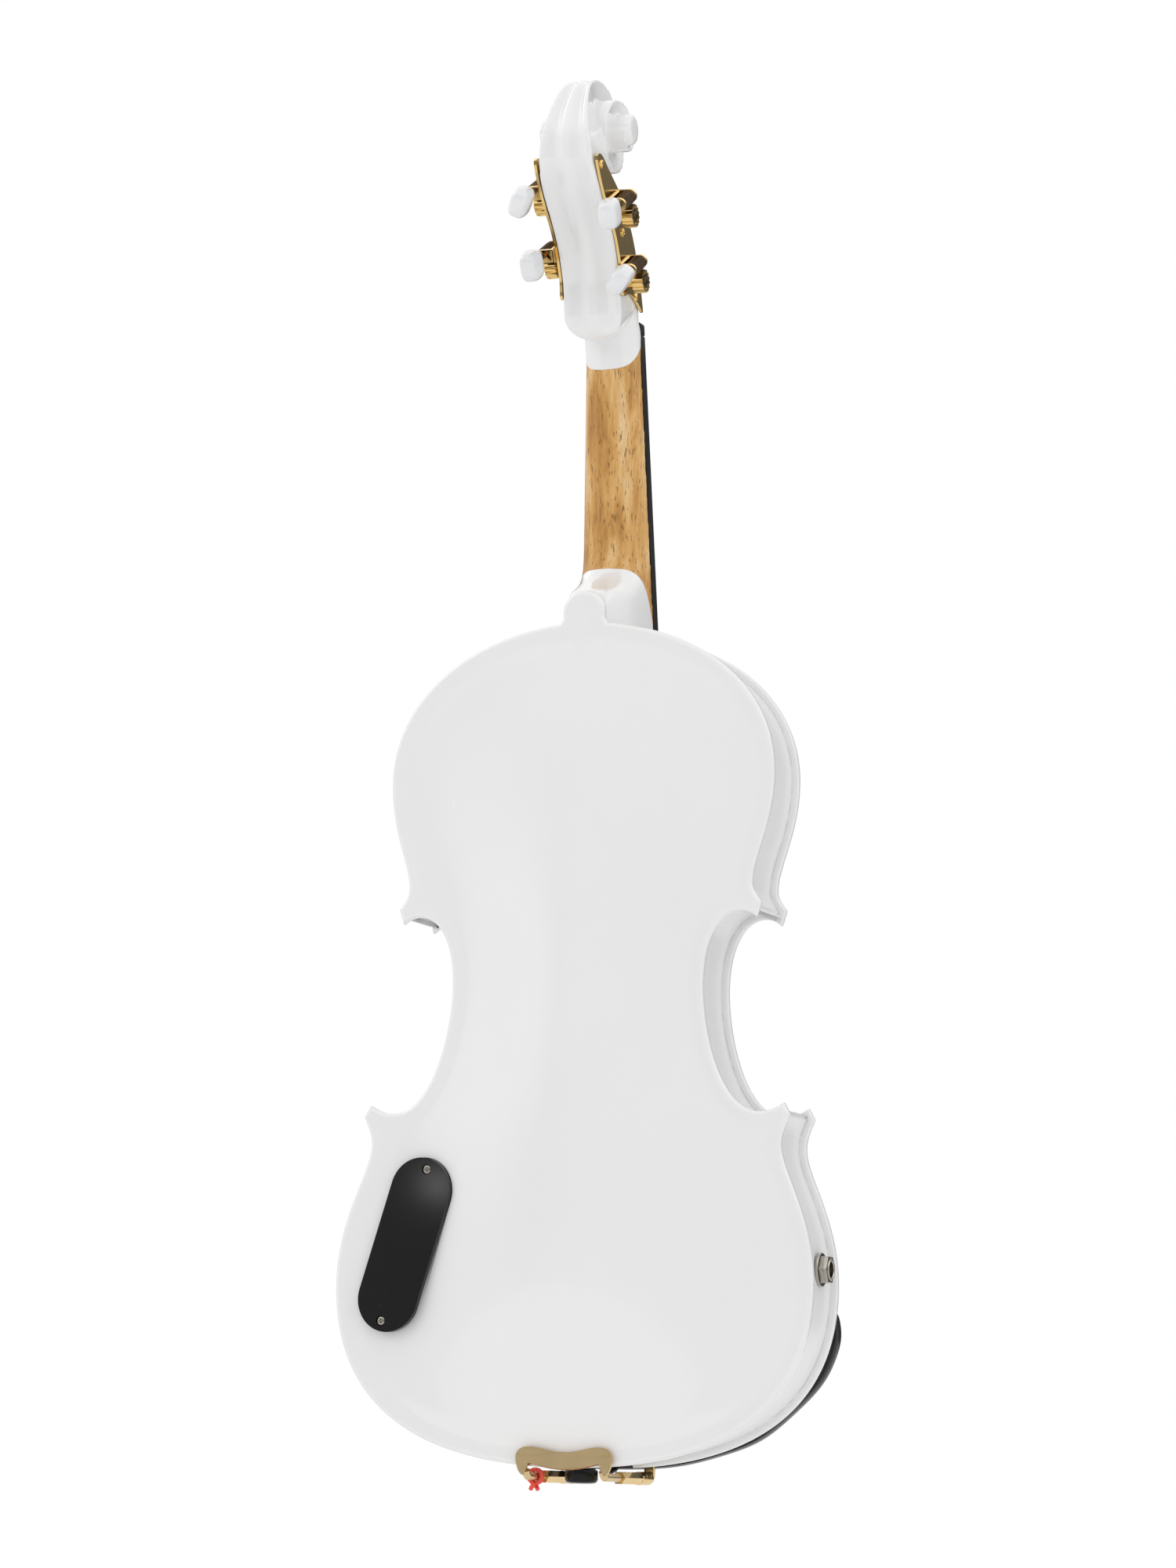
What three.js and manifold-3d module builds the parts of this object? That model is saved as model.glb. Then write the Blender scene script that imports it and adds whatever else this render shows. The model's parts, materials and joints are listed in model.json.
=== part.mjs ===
import * as THREE from 'three';
import { mergeVertices } from 'three/addons/utils/BufferGeometryUtils.js';
import Module from 'manifold-3d';

const wasm = await Module();
wasm.setup();

// Electric violin, full size, upright: scroll up, belly towards -Y, back towards +Y, treble side +X.
// While it is built, z counts from the lower edge of the body and y from the middle of the ribs.
// The finished group is then moved so that its origin lies where a hanger carries the head.

// Driving dimensions, in millimetres
const bodyLength = 356;
const upperBoutWidth = 172;
const waistWidth = 112;
const lowerBoutWidth = 212;
const ribHeight = 30;
const ribThickness = 1.8;
const plateEdge = 4;
const plateOverhang = 2.8;
const plateThickness = 3.4;
const backRise = 10.5;
const bellyRise = 11.5;
const buttonWidth = 18.6;
const buttonHeight = 13.5;
const neckLength = 137;
const nutLevel = bodyLength + neckLength;
const nutWidth = 5.6;
const boardLength = 270;
const boardWidthAtNut = 23.4;
const boardWidthAtEnd = 40.5;
const boardSide = 5.6;
const boardRadius = 42;
const neckFaceAtNut = 12;
const neckFaceAtBody = 26;
const neckDepthAtNut = 11.8;
const neckDepthAtHeel = 13.2;
const bridgeLevel = bodyLength * 0.4523;
const stringSpreadAtNut = 16.4;
const stringSpreadAtBridge = 33.6;
const stringLiftOverBoard = 4.4;
const headLean = THREE.MathUtils.degToRad(30);
const cheekHalfWidth = 13;
const tunerPlate = 1.2;
const hangerY = 36;
const hangerZ = 548;

// Clearances
const seatGap = 0.3;
const runningGap = 0.3;
const runningFit = 0.03;
const cutOverrun = 2;
const weldDistance = 1e-4;

const halfRib = ribHeight / 2;
const edgeFace = halfRib + plateEdge;

// Solid helpers
function range(count) {
  return Array.from({ length: count }, (_, i) => i);
}

// A closed surface from points and triangles, turned so that its faces point out
function surface(points, faces) {
  const cross = new THREE.Vector3();
  let volume = 0;
  for (const [a, b, c] of faces) {
    volume += points[a].dot(cross.crossVectors(points[b], points[c]));
  }
  const geometry = new THREE.BufferGeometry();
  const values = points.flatMap((p) => [p.x, p.y, p.z]);
  geometry.setAttribute('position', new THREE.Float32BufferAttribute(values, 3));
  geometry.setIndex(faces.flatMap(([a, b, c]) => (volume < 0 ? [a, c, b] : [a, b, c])));
  return geometry;
}

function capFaces(points, ring) {
  const normal = new THREE.Vector3();
  const step = new THREE.Vector3();
  ring.forEach((index, i) => {
    normal.add(step.crossVectors(points[index], points[ring[(i + 1) % ring.length]]));
  });
  normal.normalize();
  const across = new THREE.Vector3().subVectors(points[ring[1]], points[ring[0]]).normalize();
  const along = new THREE.Vector3().crossVectors(normal, across);
  const flat = ring.map((index) => new THREE.Vector2(points[index].dot(across),
    points[index].dot(along)));
  return THREE.ShapeUtils.triangulateShape(flat, []).map((face) => face.map((i) => ring[i]));
}

// A skin through rings of equally many points, closed at both ends
function loft(rings) {
  const points = rings.flat();
  const count = rings[0].length;
  const faces = [];
  for (let r = 0; r < rings.length - 1; r += 1) {
    for (let i = 0; i < count; i += 1) {
      const a = r * count + i;
      const b = r * count + (i + 1) % count;
      faces.push([a, b, b + count], [a, b + count, a + count]);
    }
  }
  const first = range(count);
  const last = first.map((i) => i + (rings.length - 1) * count);
  faces.push(...capFaces(points, first).map(([a, b, c]) => [a, c, b]), ...capFaces(points, last));
  return surface(points, faces);
}

// A block over a grid of places in the x-z plane, between two heights in y
function heightBlock(columns, rows, place, low, high) {
  const points = [];
  for (const level of [low, high]) {
    for (let j = 0; j <= rows; j += 1) {
      for (let i = 0; i <= columns; i += 1) {
        const [x, z] = place(i / columns, j / rows);
        points.push(new THREE.Vector3(x, level(x, z), z));
      }
    }
  }
  const sheet = (columns + 1) * (rows + 1);
  const at = (i, j, k) => k * sheet + j * (columns + 1) + i;
  const faces = [];
  const quad = (a, b, c, d) => faces.push([a, b, c], [a, c, d]);
  for (let j = 0; j < rows; j += 1) {
    for (let i = 0; i < columns; i += 1) {
      quad(at(i, j, 0), at(i + 1, j, 0), at(i + 1, j + 1, 0), at(i, j + 1, 0));
      quad(at(i, j, 1), at(i, j + 1, 1), at(i + 1, j + 1, 1), at(i + 1, j, 1));
    }
  }
  for (let i = 0; i < columns; i += 1) {
    quad(at(i, 0, 0), at(i, 0, 1), at(i + 1, 0, 1), at(i + 1, 0, 0));
    quad(at(i, rows, 0), at(i + 1, rows, 0), at(i + 1, rows, 1), at(i, rows, 1));
  }
  for (let j = 0; j < rows; j += 1) {
    quad(at(0, j, 0), at(0, j + 1, 0), at(0, j + 1, 1), at(0, j, 1));
    quad(at(columns, j, 0), at(columns, j, 1), at(columns, j + 1, 1), at(columns, j + 1, 0));
  }
  return surface(points, faces);
}

function toSolid(geometry) {
  const bare = geometry.clone();
  bare.deleteAttribute('normal');
  bare.deleteAttribute('uv');
  const welded = mergeVertices(bare, weldDistance);
  const index = welded.index.array;
  const kept = [];
  for (let i = 0; i < index.length; i += 3) {
    const [a, b, c] = [index[i], index[i + 1], index[i + 2]];
    if (a !== b && b !== c && c !== a) kept.push(a, b, c);
  }
  return new wasm.Manifold(new wasm.Mesh({
    numProp: 3,
    vertProperties: new Float32Array(welded.attributes.position.array),
    triVerts: new Uint32Array(kept),
  }));
}

function toGeometry(solid) {
  const mesh = solid.getMesh();
  const geometry = new THREE.BufferGeometry();
  geometry.setAttribute('position', new THREE.Float32BufferAttribute(mesh.vertProperties, 3));
  geometry.setIndex(Array.from(mesh.triVerts));
  return geometry;
}

function fuse(...parts) {
  return toGeometry(parts.map(toSolid).reduce((all, next) => all.add(next)));
}

function carve(base, ...tools) {
  return toGeometry(tools.map(toSolid).reduce((rest, tool) => rest.subtract(tool), toSolid(base)));
}

function common(a, b) {
  return toGeometry(toSolid(a).intersect(toSolid(b)));
}

function moved(geometry, x, y, z) {
  return geometry.clone().translate(x, y, z);
}

function mirroredX(geometry) {
  const copy = geometry.index ? geometry.toNonIndexed() : geometry.clone();
  const place = copy.attributes.position;
  for (let i = 0; i < place.count; i += 3) {
    const corners = [0, 2, 1].map((k) => new THREE.Vector3().fromBufferAttribute(place, i + k));
    corners.forEach((p, k) => place.setXYZ(i + k, -p.x, p.y, p.z));
  }
  return copy;
}

// Extrusions of a drawn outline: drawn in (x, z) and pushed along y, or drawn in (y, z) and pushed along x
function throughY(shape, low, high, curveSegments = 12) {
  const geometry = new THREE.ExtrudeGeometry(shape,
    { depth: high - low, bevelEnabled: false, curveSegments });
  return geometry.rotateX(Math.PI / 2).translate(0, high, 0);
}

const yzToDrawing = new THREE.Matrix4().set(0, 0, 1, 0, 1, 0, 0, 0, 0, 1, 0, 0, 0, 0, 0, 1);
function throughX(shape, low, high, curveSegments = 12) {
  const geometry = new THREE.ExtrudeGeometry(shape,
    { depth: high - low, bevelEnabled: false, curveSegments });
  return geometry.applyMatrix4(yzToDrawing).translate(low, 0, 0);
}

function outlineShape(points) {
  return new THREE.Shape(points.map(([a, b]) => new THREE.Vector2(a, b)));
}

function rod(radius, length, sides) {
  return new THREE.CylinderGeometry(radius, radius, length, sides);
}

// A turned solid from a profile of [radius, height] that starts and ends on the axis
function turned(profile, sides) {
  const points = profile.map(([radius, level]) => new THREE.Vector2(radius, level));
  const rising = points[points.length - 1].y > points[0].y;
  return new THREE.LatheGeometry(rising ? points : points.reverse(), sides);
}

function box(low, high) {
  const size = high.map((value, i) => value - low[i]);
  const centre = high.map((value, i) => (value + low[i]) / 2);
  return new THREE.BoxGeometry(...size).translate(...centre);
}

function tube(points, radius, steps, sides) {
  const path = new THREE.CatmullRomCurve3(points.map((p) => new THREE.Vector3(...p)), false,
    'centripetal');
  const section = new THREE.Shape();
  section.absarc(0, 0, radius, 0, 2 * Math.PI, false);
  const options = { steps, bevelEnabled: false, extrudePath: path, curveSegments: sides };
  return new THREE.ExtrudeGeometry(section, options);
}

// A route through listed points: a tube along it has one ring at each of them
class Route extends THREE.Curve {
  constructor(points) {
    super();
    this.places = points;
  }

  getPoint(t) {
    const last = this.places.length - 1;
    const index = Math.min(Math.floor(t * last), last - 1);
    return this.places[index].clone().lerp(this.places[index + 1], t * last - index);
  }

  getPointAt(u) {
    return this.getPoint(u);
  }

  getTangentAt(u) {
    const last = this.places.length - 1;
    const index = Math.round(u * last);
    const tangent = new THREE.Vector3();
    for (const next of [index, index + 1].filter((i) => i > 0 && i <= last)) {
      tangent.add(this.places[next].clone().sub(this.places[next - 1]).normalize());
    }
    return tangent.normalize();
  }
}

function cord(points, radius, sides) {
  const section = new THREE.Shape();
  section.absarc(0, 0, radius, 0, 2 * Math.PI, false);
  const options = { steps: points.length - 1, bevelEnabled: false, extrudePath: new Route(points) };
  return new THREE.ExtrudeGeometry(section, { ...options, curveSegments: sides });
}

const violin = new THREE.Group();
const head = new THREE.Group();

function addPiece(name, geometry, color, roughness, metalness, parent = violin) {
  const material = new THREE.MeshStandardMaterial({ color, roughness, metalness });
  const mesh = new THREE.Mesh(geometry, material);
  mesh.name = name;
  parent.add(mesh);
  return mesh;
}

const whiteLacquer = 0xe9e9e9;
const ebonyBlack = 0x0c0c0d;
const spruce = 0xd8b882;
const maple = 0xc99a5b;
const gold = 0xd9b25c;
const darkSteel = 0x2e2823;
const pearl = 0xe2e4ea;
const cork = 0xb98a60;
const nickel = 0xa9a59d;

// Body outline: one side of it, from the middle of the lower edge up to the middle of the upper edge.
// Each run is a cubic curve; widths are shares of the half width named with them, heights of the body length.
const boutLevelShares = { lower: 0.2135, waist: 0.5646, upper: 0.8118 };
const lowerCornerShares = { neck: [0.861, 0.3764], outer: [0.896, 0.4101], inner: [0.8708, 0.4236] };
const upperCornerShares = { inner: [0.9209, 0.6404], outer: [0.9442, 0.6587], neck: [0.8953, 0.6826] };
const runSegments = { bout: 7, flank: 3, hook: 2, waist: 5 };

function bodyHalfOutline() {
  const lower = lowerBoutWidth / 2;
  const upper = upperBoutWidth / 2;
  const waist = waistWidth / 2;
  const at = (x, z) => new THREE.Vector2(x, z * bodyLength);
  const lowerAt = ([x, z]) => at(x * lower, z);
  const upperAt = ([x, z]) => at(x * upper, z);
  const lowerNeck = lowerAt(lowerCornerShares.neck);
  const upperNeck = upperAt(upperCornerShares.neck);
  const runs = [
    [at(0, 0), at(lower * 0.7425, 0), at(lower, 0.0919), at(lower, boutLevelShares.lower), 'bout'],
    [at(lower, boutLevelShares.lower), at(lower, 0.2933), at(lowerNeck.x, 0.3438), lowerNeck, 'flank'],
    [lowerNeck, at(lowerNeck.x, 0.389), lowerAt([0.883, 0.402]), lowerAt(lowerCornerShares.outer),
      'hook'],
    [lowerAt(lowerCornerShares.inner), lowerAt([0.6274, 0.3787]), at(waist, 0.5037),
      at(waist, boutLevelShares.waist), 'waist'],
    [at(waist, boutLevelShares.waist), at(waist, 0.6466), upperAt([0.828, 0.661]),
      upperAt(upperCornerShares.inner), 'waist'],
    [upperAt(upperCornerShares.outer), upperAt([0.915, 0.668]), at(upperNeck.x, 0.674), upperNeck,
      'hook'],
    [upperNeck, at(upperNeck.x, 0.7132), at(upper, 0.7514), at(upper, boutLevelShares.upper), 'flank'],
    [at(upper, boutLevelShares.upper), at(upper, 0.9129), at(upper * 0.62, 0.994), at(0, 1), 'bout'],
  ];
  const points = [];
  for (const [a, b, c, d, kind] of runs) {
    const run = new THREE.CubicBezierCurve(a, b, c, d).getPoints(runSegments[kind]);
    const joined = points.length > 0 && points[points.length - 1].distanceTo(run[0]) < weldDistance;
    points.push(...(joined ? run.slice(1) : run));
  }
  return points;
}

const buttonArcSteps = 8;

// The whole outline, drawn in by an inset, with the back's button added at the top where asked
function bodyOutline(inset, buttonTop = 0) {
  const half = bodyHalfOutline();
  const whole = [...half, ...half.slice(1, -1).reverse().map((p) => new THREE.Vector2(-p.x, p.y))];
  const count = whole.length;
  const drawn = whole.map((p, i) => {
    const before = p.clone().sub(whole[(i + count - 1) % count]).normalize();
    const after = whole[(i + 1) % count].clone().sub(p).normalize();
    const inward = new THREE.Vector2(-before.y - after.y, before.x + after.x).normalize();
    const reach = inset / Math.max(inward.dot(new THREE.Vector2(-before.y, before.x)), 0.5);
    return p.clone().addScaledVector(inward, reach);
  });
  if (buttonTop === 0) return drawn;
  const round = buttonWidth / 2 - inset;
  const rise = bodyLength + buttonTop - round - inset;
  const arc = range(buttonArcSteps + 1).map((i) => {
    const angle = Math.PI * i / buttonArcSteps;
    return new THREE.Vector2(round * Math.cos(angle), rise + round * Math.sin(angle));
  });
  const top = half.length - 1;
  return [...drawn.slice(0, top), ...arc, ...drawn.slice(top + 1)];
}

// Half width that the arching follows: the bouts and waist without the corners
const archLevelShares = [0.02, 0.06, 0.12, 0.2135, 0.3, 0.376, 0.46, 0.5646, 0.63, 0.69, 0.75, 0.8118,
  0.89, 0.95, 0.985];
const archWidthShares = [0.5, 0.72, 0.9, 0.985, 0.94, 0.8, 0.605, 0.515, 0.54, 0.63, 0.73, 0.79, 0.745,
  0.58, 0.36];
const archReachShare = 0.9;
const archPower = { along: 2.4, rise: 1.15, across: 1.6 };

function archHalfWidth(z) {
  const share = THREE.MathUtils.clamp(z / bodyLength, archLevelShares[0],
    archLevelShares[archLevelShares.length - 1]);
  const next = Math.max(1, archLevelShares.findIndex((level) => level >= share));
  const span = archLevelShares[next] - archLevelShares[next - 1];
  const t = (share - archLevelShares[next - 1]) / span;
  const smooth = t * t * (3 - 2 * t);
  return THREE.MathUtils.lerp(archWidthShares[next - 1], archWidthShares[next], smooth)
    * lowerBoutWidth / 2;
}

function archHeight(x, z, rise, endMargin, reach) {
  const t = (z - endMargin) / (bodyLength - 2 * endMargin);
  if (t <= 0 || t >= 1) return 0;
  const along = (1 - Math.abs(2 * t - 1) ** archPower.along) ** archPower.rise;
  const across = Math.abs(x) / (reach * archHalfWidth(z));
  return across >= 1 ? 0 : rise * along * Math.cos(across * Math.PI / 2) ** archPower.across;
}

const archMargin = 8;
const hollowMargin = 17;
const hollowReachShare = 0.83;
const edgeRound = 1.3;
const archColumns = 8;
const archRows = 14;
const hollowColumns = 4;
const hollowRows = 10;

// Height above the ribs of a plate's outer and inner faces
function outerFace(rise) {
  return (x, z) => plateEdge + archHeight(x, z, rise, archMargin, archReachShare);
}

function innerFace(rise) {
  const inner = rise + plateEdge - plateThickness;
  return (x, z) => archHeight(x, z, inner, hollowMargin, hollowReachShare);
}

function arched(columns, rows, margin, reach, low, high, side) {
  const place = (u, v) => {
    const z = margin + v * (bodyLength - 2 * margin);
    return [(2 * u - 1) * reach * archHalfWidth(z), z];
  };
  return heightBlock(columns, rows, place, (x, z) => side * low(x, z), (x, z) => side * high(x, z));
}

// One carved plate: a slab with rounded edges, the arch on it and the hollow under it
function carvedPlate(rise, side, buttonTop) {
  const levels = [[halfRib, edgeRound], [halfRib + edgeRound, 0], [edgeFace - edgeRound, 0],
    [edgeFace, edgeRound]];
  const slab = loft(levels.map(([y, inset]) => (
    bodyOutline(inset, buttonTop).map((p) => new THREE.Vector3(p.x, side * y, p.y))
  )));
  const outer = outerFace(rise);
  const inner = innerFace(rise);
  const middle = halfRib + plateEdge / 2;
  const arch = arched(archColumns, archRows, archMargin, archReachShare,
    () => middle, (x, z) => halfRib + outer(x, z), side);
  const hollow = arched(hollowColumns, hollowRows, hollowMargin, hollowReachShare,
    () => halfRib - cutOverrun, (x, z) => halfRib + inner(x, z), side);
  return carve(fuse(slab, arch), hollow);
}

// Battery cover: a stadium on the treble side of the back, leaning with its top towards the middle
const coverLength = 75.4;
const coverWidth = 28.4;
const coverThickness = 2.2;
const coverEdge = 0.9;
const coverX = lowerBoutWidth * 0.3325;
const coverZ = bodyLength * 0.2556;
const coverLean = THREE.MathUtils.degToRad(16.8);
const coverTilt = THREE.MathUtils.degToRad(7);
const coverSegments = 6;
const batterySize = { width: 17.5, length: 48.5, depth: 26.5 };
const boxWall = 1.5;
const boxClearance = 1;
const boxFlange = 1.6;

function stadium(length, width) {
  const shape = new THREE.Shape();
  const reach = (length - width) / 2;
  shape.absarc(0, reach, width / 2, 0, Math.PI, false);
  shape.absarc(0, -reach, width / 2, Math.PI, 2 * Math.PI, false);
  return shape;
}

// Local frame of the cover: its outer face looks along +y, its length runs along z
const coverFrame = new THREE.Matrix4().makeTranslation(coverX, 0, coverZ)
  .multiply(new THREE.Matrix4().makeRotationY(-coverLean))
  .multiply(new THREE.Matrix4().makeRotationZ(-coverTilt));
const coverSeat = halfRib + plateEdge + archHeight(coverX, coverZ, backRise, archMargin, archReachShare)
  + coverThickness * 0.35;

const terminalHeight = 2.6;
const terminalRadius = 3.2;
const terminalSpread = 12.7;

function buildBattery() {
  const pocketWidth = batterySize.width + 2 * boxClearance;
  const pocketLength = batterySize.length + 2 * boxClearance;
  const outerWidth = pocketWidth + 2 * boxWall;
  const outerLength = pocketLength + 2 * boxWall;
  const floor = coverSeat - seatGap - boxFlange - batterySize.depth - boxClearance;

  const levels = [[coverSeat, 0], [coverSeat + coverThickness - coverEdge, 0],
    [coverSeat + coverThickness, coverEdge]];
  const cover = loft(levels.map(([y, inset]) => stadium(coverLength - 2 * inset, coverWidth - 2 * inset)
    .getPoints(coverSegments).slice(0, -1).map((p) => new THREE.Vector3(p.x, y, p.y))));
  addPiece('battery_cover', cover.applyMatrix4(coverFrame), ebonyBlack, 0.12, 0);

  const shell = fuse(
    box([-outerWidth / 2, floor - boxWall, -outerLength / 2],
      [outerWidth / 2, coverSeat - seatGap, outerLength / 2]),
    throughY(stadium(coverLength - 2 * coverEdge - 2 * seatGap, coverWidth - 2 * coverEdge - 2 * seatGap),
      coverSeat - seatGap - boxFlange, coverSeat - seatGap, coverSegments),
  );
  const pocket = box([-pocketWidth / 2, floor, -pocketLength / 2],
    [pocketWidth / 2, coverSeat + cutOverrun, pocketLength / 2]);
  addPiece('battery_box', carve(shell, pocket).applyMatrix4(coverFrame), ebonyBlack, 0.6, 0);

  const cell = box(
    [-batterySize.width / 2, floor + seatGap, -batterySize.length / 2],
    [batterySize.width / 2, floor + seatGap + batterySize.depth, batterySize.length / 2 - terminalHeight],
  );
  const posts = [-terminalSpread / 2, terminalSpread / 2].map((y) =>
    rod(terminalRadius, terminalHeight + seatGap, 10)
    .rotateX(Math.PI / 2).translate(0, floor + batterySize.depth / 2 + y,
      batterySize.length / 2 - terminalHeight / 2));
  addPiece('battery', fuse(cell, ...posts).applyMatrix4(coverFrame), 0x3a3d40, 0.4, 0.5);
}

// What the battery box and its cover take out of the back plate
function coverRecess() {
  const seatCut = throughY(stadium(coverLength + 2 * seatGap, coverWidth + 2 * seatGap),
    coverSeat - seatGap - boxFlange - seatGap, coverSeat + backRise, coverSegments);
  const width = batterySize.width + 2 * (boxClearance + boxWall + seatGap);
  const length = batterySize.length + 2 * (boxClearance + boxWall + seatGap);
  const well = box([-width / 2, 0, -length / 2], [width / 2, coverSeat, length / 2]);
  return fuse(seatCut, well).applyMatrix4(coverFrame);
}

function buildBack() {
  const plate = carvedPlate(backRise, 1, buttonHeight);
  addPiece('back_plate', carve(plate, coverRecess()), whiteLacquer, 0.15, 0);
  return plate;
}

// Sound holes of the belly: two eyes joined by a stem that swells in its middle
const soundHole = {
  upperX: 24, upperZ: bodyLength * 0.5393, lowerX: 50, lowerZ: bodyLength * 0.3567, upperEye: 3.2,
  lowerEye: 4.4,
  stem: 5.6, tip: 1.8,
};
const stemSteps = 6;
const eyeSides = 10;

function soundHoleCut(side) {
  const { upperX, upperZ, lowerX, lowerZ, upperEye, lowerEye, stem, tip } = soundHole;
  const bow = (lowerX - upperX) / 2;
  const line = new THREE.CubicBezierCurve(
    new THREE.Vector2(upperX + upperEye, upperZ + upperEye * 1.6),
    new THREE.Vector2(upperX + upperEye + bow * 1.5, upperZ + upperEye * 2),
    new THREE.Vector2(lowerX - lowerEye - bow * 1.5, lowerZ - lowerEye * 2),
    new THREE.Vector2(lowerX - lowerEye, lowerZ - lowerEye * 1.4),
  );
  const sides = [1, -1].map((hand) => range(stemSteps + 1).map((i) => {
    const t = i / stemSteps;
    const half = (tip + (stem - tip) * Math.sin(Math.PI * t)) / 2;
    const along = line.getTangent(t);
    const p = line.getPoint(t);
    return [side * (p.x - hand * along.y * half), p.y + hand * along.x * half];
  }));
  const depth = [-edgeFace - bellyRise - cutOverrun, -halfRib + cutOverrun];
  const eyes = [[upperX, upperZ, upperEye], [lowerX, lowerZ, lowerEye]].map(([x, z, radius]) => (
    rod(radius, depth[1] - depth[0], eyeSides).translate(side * x, (depth[0] + depth[1]) / 2, z)
  ));
  return fuse(throughY(outlineShape([...sides[0], ...sides[1].reverse()]), ...depth), ...eyes);
}

// Neck root in the body, wider at the board than at the button
const rootDepth = 6;
const boardHalfWidth = (z) => (
  THREE.MathUtils.lerp(boardWidthAtNut, boardWidthAtEnd, (nutLevel - z) / boardLength) / 2
);
const neckFace = (z) => (
  -THREE.MathUtils.lerp(neckFaceAtNut, neckFaceAtBody, (nutLevel - z) / (nutLevel - bodyLength))
);
const heelShares = [[1, 0], [0.96, 0.3], [0.86, 0.6], [0.66, 0.88], [0.52, 1], [0.26, 1], [0, 1]];
const roundShares = [[1, 0], [0.975, 0.22], [0.9, 0.47], [0.75, 0.7], [0.53, 0.88], [0.27, 0.97], [0, 1]];

function mortiseShape() {
  const face = neckFace(bodyLength);
  const depth = halfRib - seatGap - face;
  const half = heelShares.slice(0, 5).map(([x, y]) =>
    [boardHalfWidth(bodyLength - rootDepth) * x + seatGap, face + depth * y]);
  half.push([half[half.length - 1][0], halfRib + cutOverrun]);
  return outlineShape([...half, ...half.map(([x, y]) => [-x, y]).reverse()]);
}

const saddle = { width: 34, depth: 7, height: 8 };
const knobs = [
  { name: 'volume_knob', x: lowerBoutWidth * 0.3538, z: bodyLength * 0.1404 },
  { name: 'tone_knob', x: lowerBoutWidth * 0.2642, z: bodyLength * 0.09 },
];
const knob = { radius: 8.5, height: 14, shaftRadius: 3, bushRadius: 4.6, skirt: 2.2, flutes: 18,
  flute: 0.45 };

function buildBelly() {
  const notch = box(
    [-boardHalfWidth(bodyLength) - seatGap, -edgeFace - bellyRise, bodyLength - rootDepth - seatGap],
    [boardHalfWidth(bodyLength) + seatGap, -halfRib + cutOverrun, bodyLength + cutOverrun],
  );
  const saddleNotch = box(
    [-saddle.width / 2 - seatGap, -edgeFace - cutOverrun, -cutOverrun],
    [saddle.width / 2 + seatGap, -halfRib + cutOverrun, saddle.depth + seatGap],
  );
  const knobHoles = knobs.map(({ x, z }) => rod(knob.bushRadius + seatGap, 2 * edgeFace,
    10).translate(x, -edgeFace, z));
  const plate = carvedPlate(bellyRise, -1, 0);
  const cut = carve(plate, notch, saddleNotch, soundHoleCut(1), soundHoleCut(-1), ...knobHoles);
  addPiece('top_plate', cut, whiteLacquer, 0.15, 0);
  return plate;
}

// Rib garland with its six blocks: the inner wall runs smoothly past the corners, which stay solid
const blockWidth = 52;
const blockDepth = 16;
const liningReach = 1.2;

function innerWallOutline() {
  const drawIn = plateOverhang + ribThickness + liningReach;
  const lower = lowerBoutWidth / 2 - drawIn;
  const upper = upperBoutWidth / 2 - drawIn;
  const waist = waistWidth / 2 - drawIn;
  const bottom = drawIn;
  const top = bodyLength - drawIn;
  const level = (share) => share * bodyLength;
  const shape = new THREE.Shape();
  shape.moveTo(0, bottom);
  for (const side of [1, -1]) {
    const run = side === 1
      ? [[0, bottom], [lower * 0.73, bottom], [lower, level(0.105)], [lower, level(0.2135)],
        [lower, level(0.335)], [waist * 0.93, level(0.4)], [waist, level(0.5646)],
        [waist, level(0.66)], [upper, level(0.68)], [upper, level(0.8118)],
        [upper, level(0.905)], [upper * 0.62, top], [0, top]]
      : [[0, top], [upper * 0.62, top], [upper, level(0.905)], [upper, level(0.8118)],
        [upper, level(0.68)], [waist, level(0.66)], [waist, level(0.5646)],
        [waist * 0.93, level(0.4)], [lower, level(0.335)], [lower, level(0.2135)],
        [lower, level(0.105)], [lower * 0.73, bottom], [0, bottom]];
    for (let i = 1; i < run.length; i += 3) {
      const [a, b, c] = run.slice(i, i + 3);
      shape.bezierCurveTo(side * a[0], a[1], side * b[0], b[1], side * c[0], c[1]);
    }
  }
  return shape;
}

const jack = {
  z: bodyLength * 0.2331, plugRadius: 3.25, bushRadius: 4.5, reach: 1.9, depth: 22, stand: 2.8,
  washerRadius: 7.1,
  washer: 1, nut: 3.4, nutRadius: 6.3, body: 24, bodySize: 13,
};
const endButton = {
  radius: 6.9, neckRadius: 4.1, neckBase: 2.5, headBase: -0.4, headEnd: -6.3, chamfer: 0.5,
  pinRadius: 3.6, pinLength: 15,
};

function ribSurfaceX(z) {
  const half = bodyHalfOutline();
  const next = half.findIndex((p) => p.y > z);
  const t = (z - half[next - 1].y) / (half[next].y - half[next - 1].y);
  return THREE.MathUtils.lerp(half[next - 1].x, half[next].x, t) - plateOverhang;
}

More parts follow.
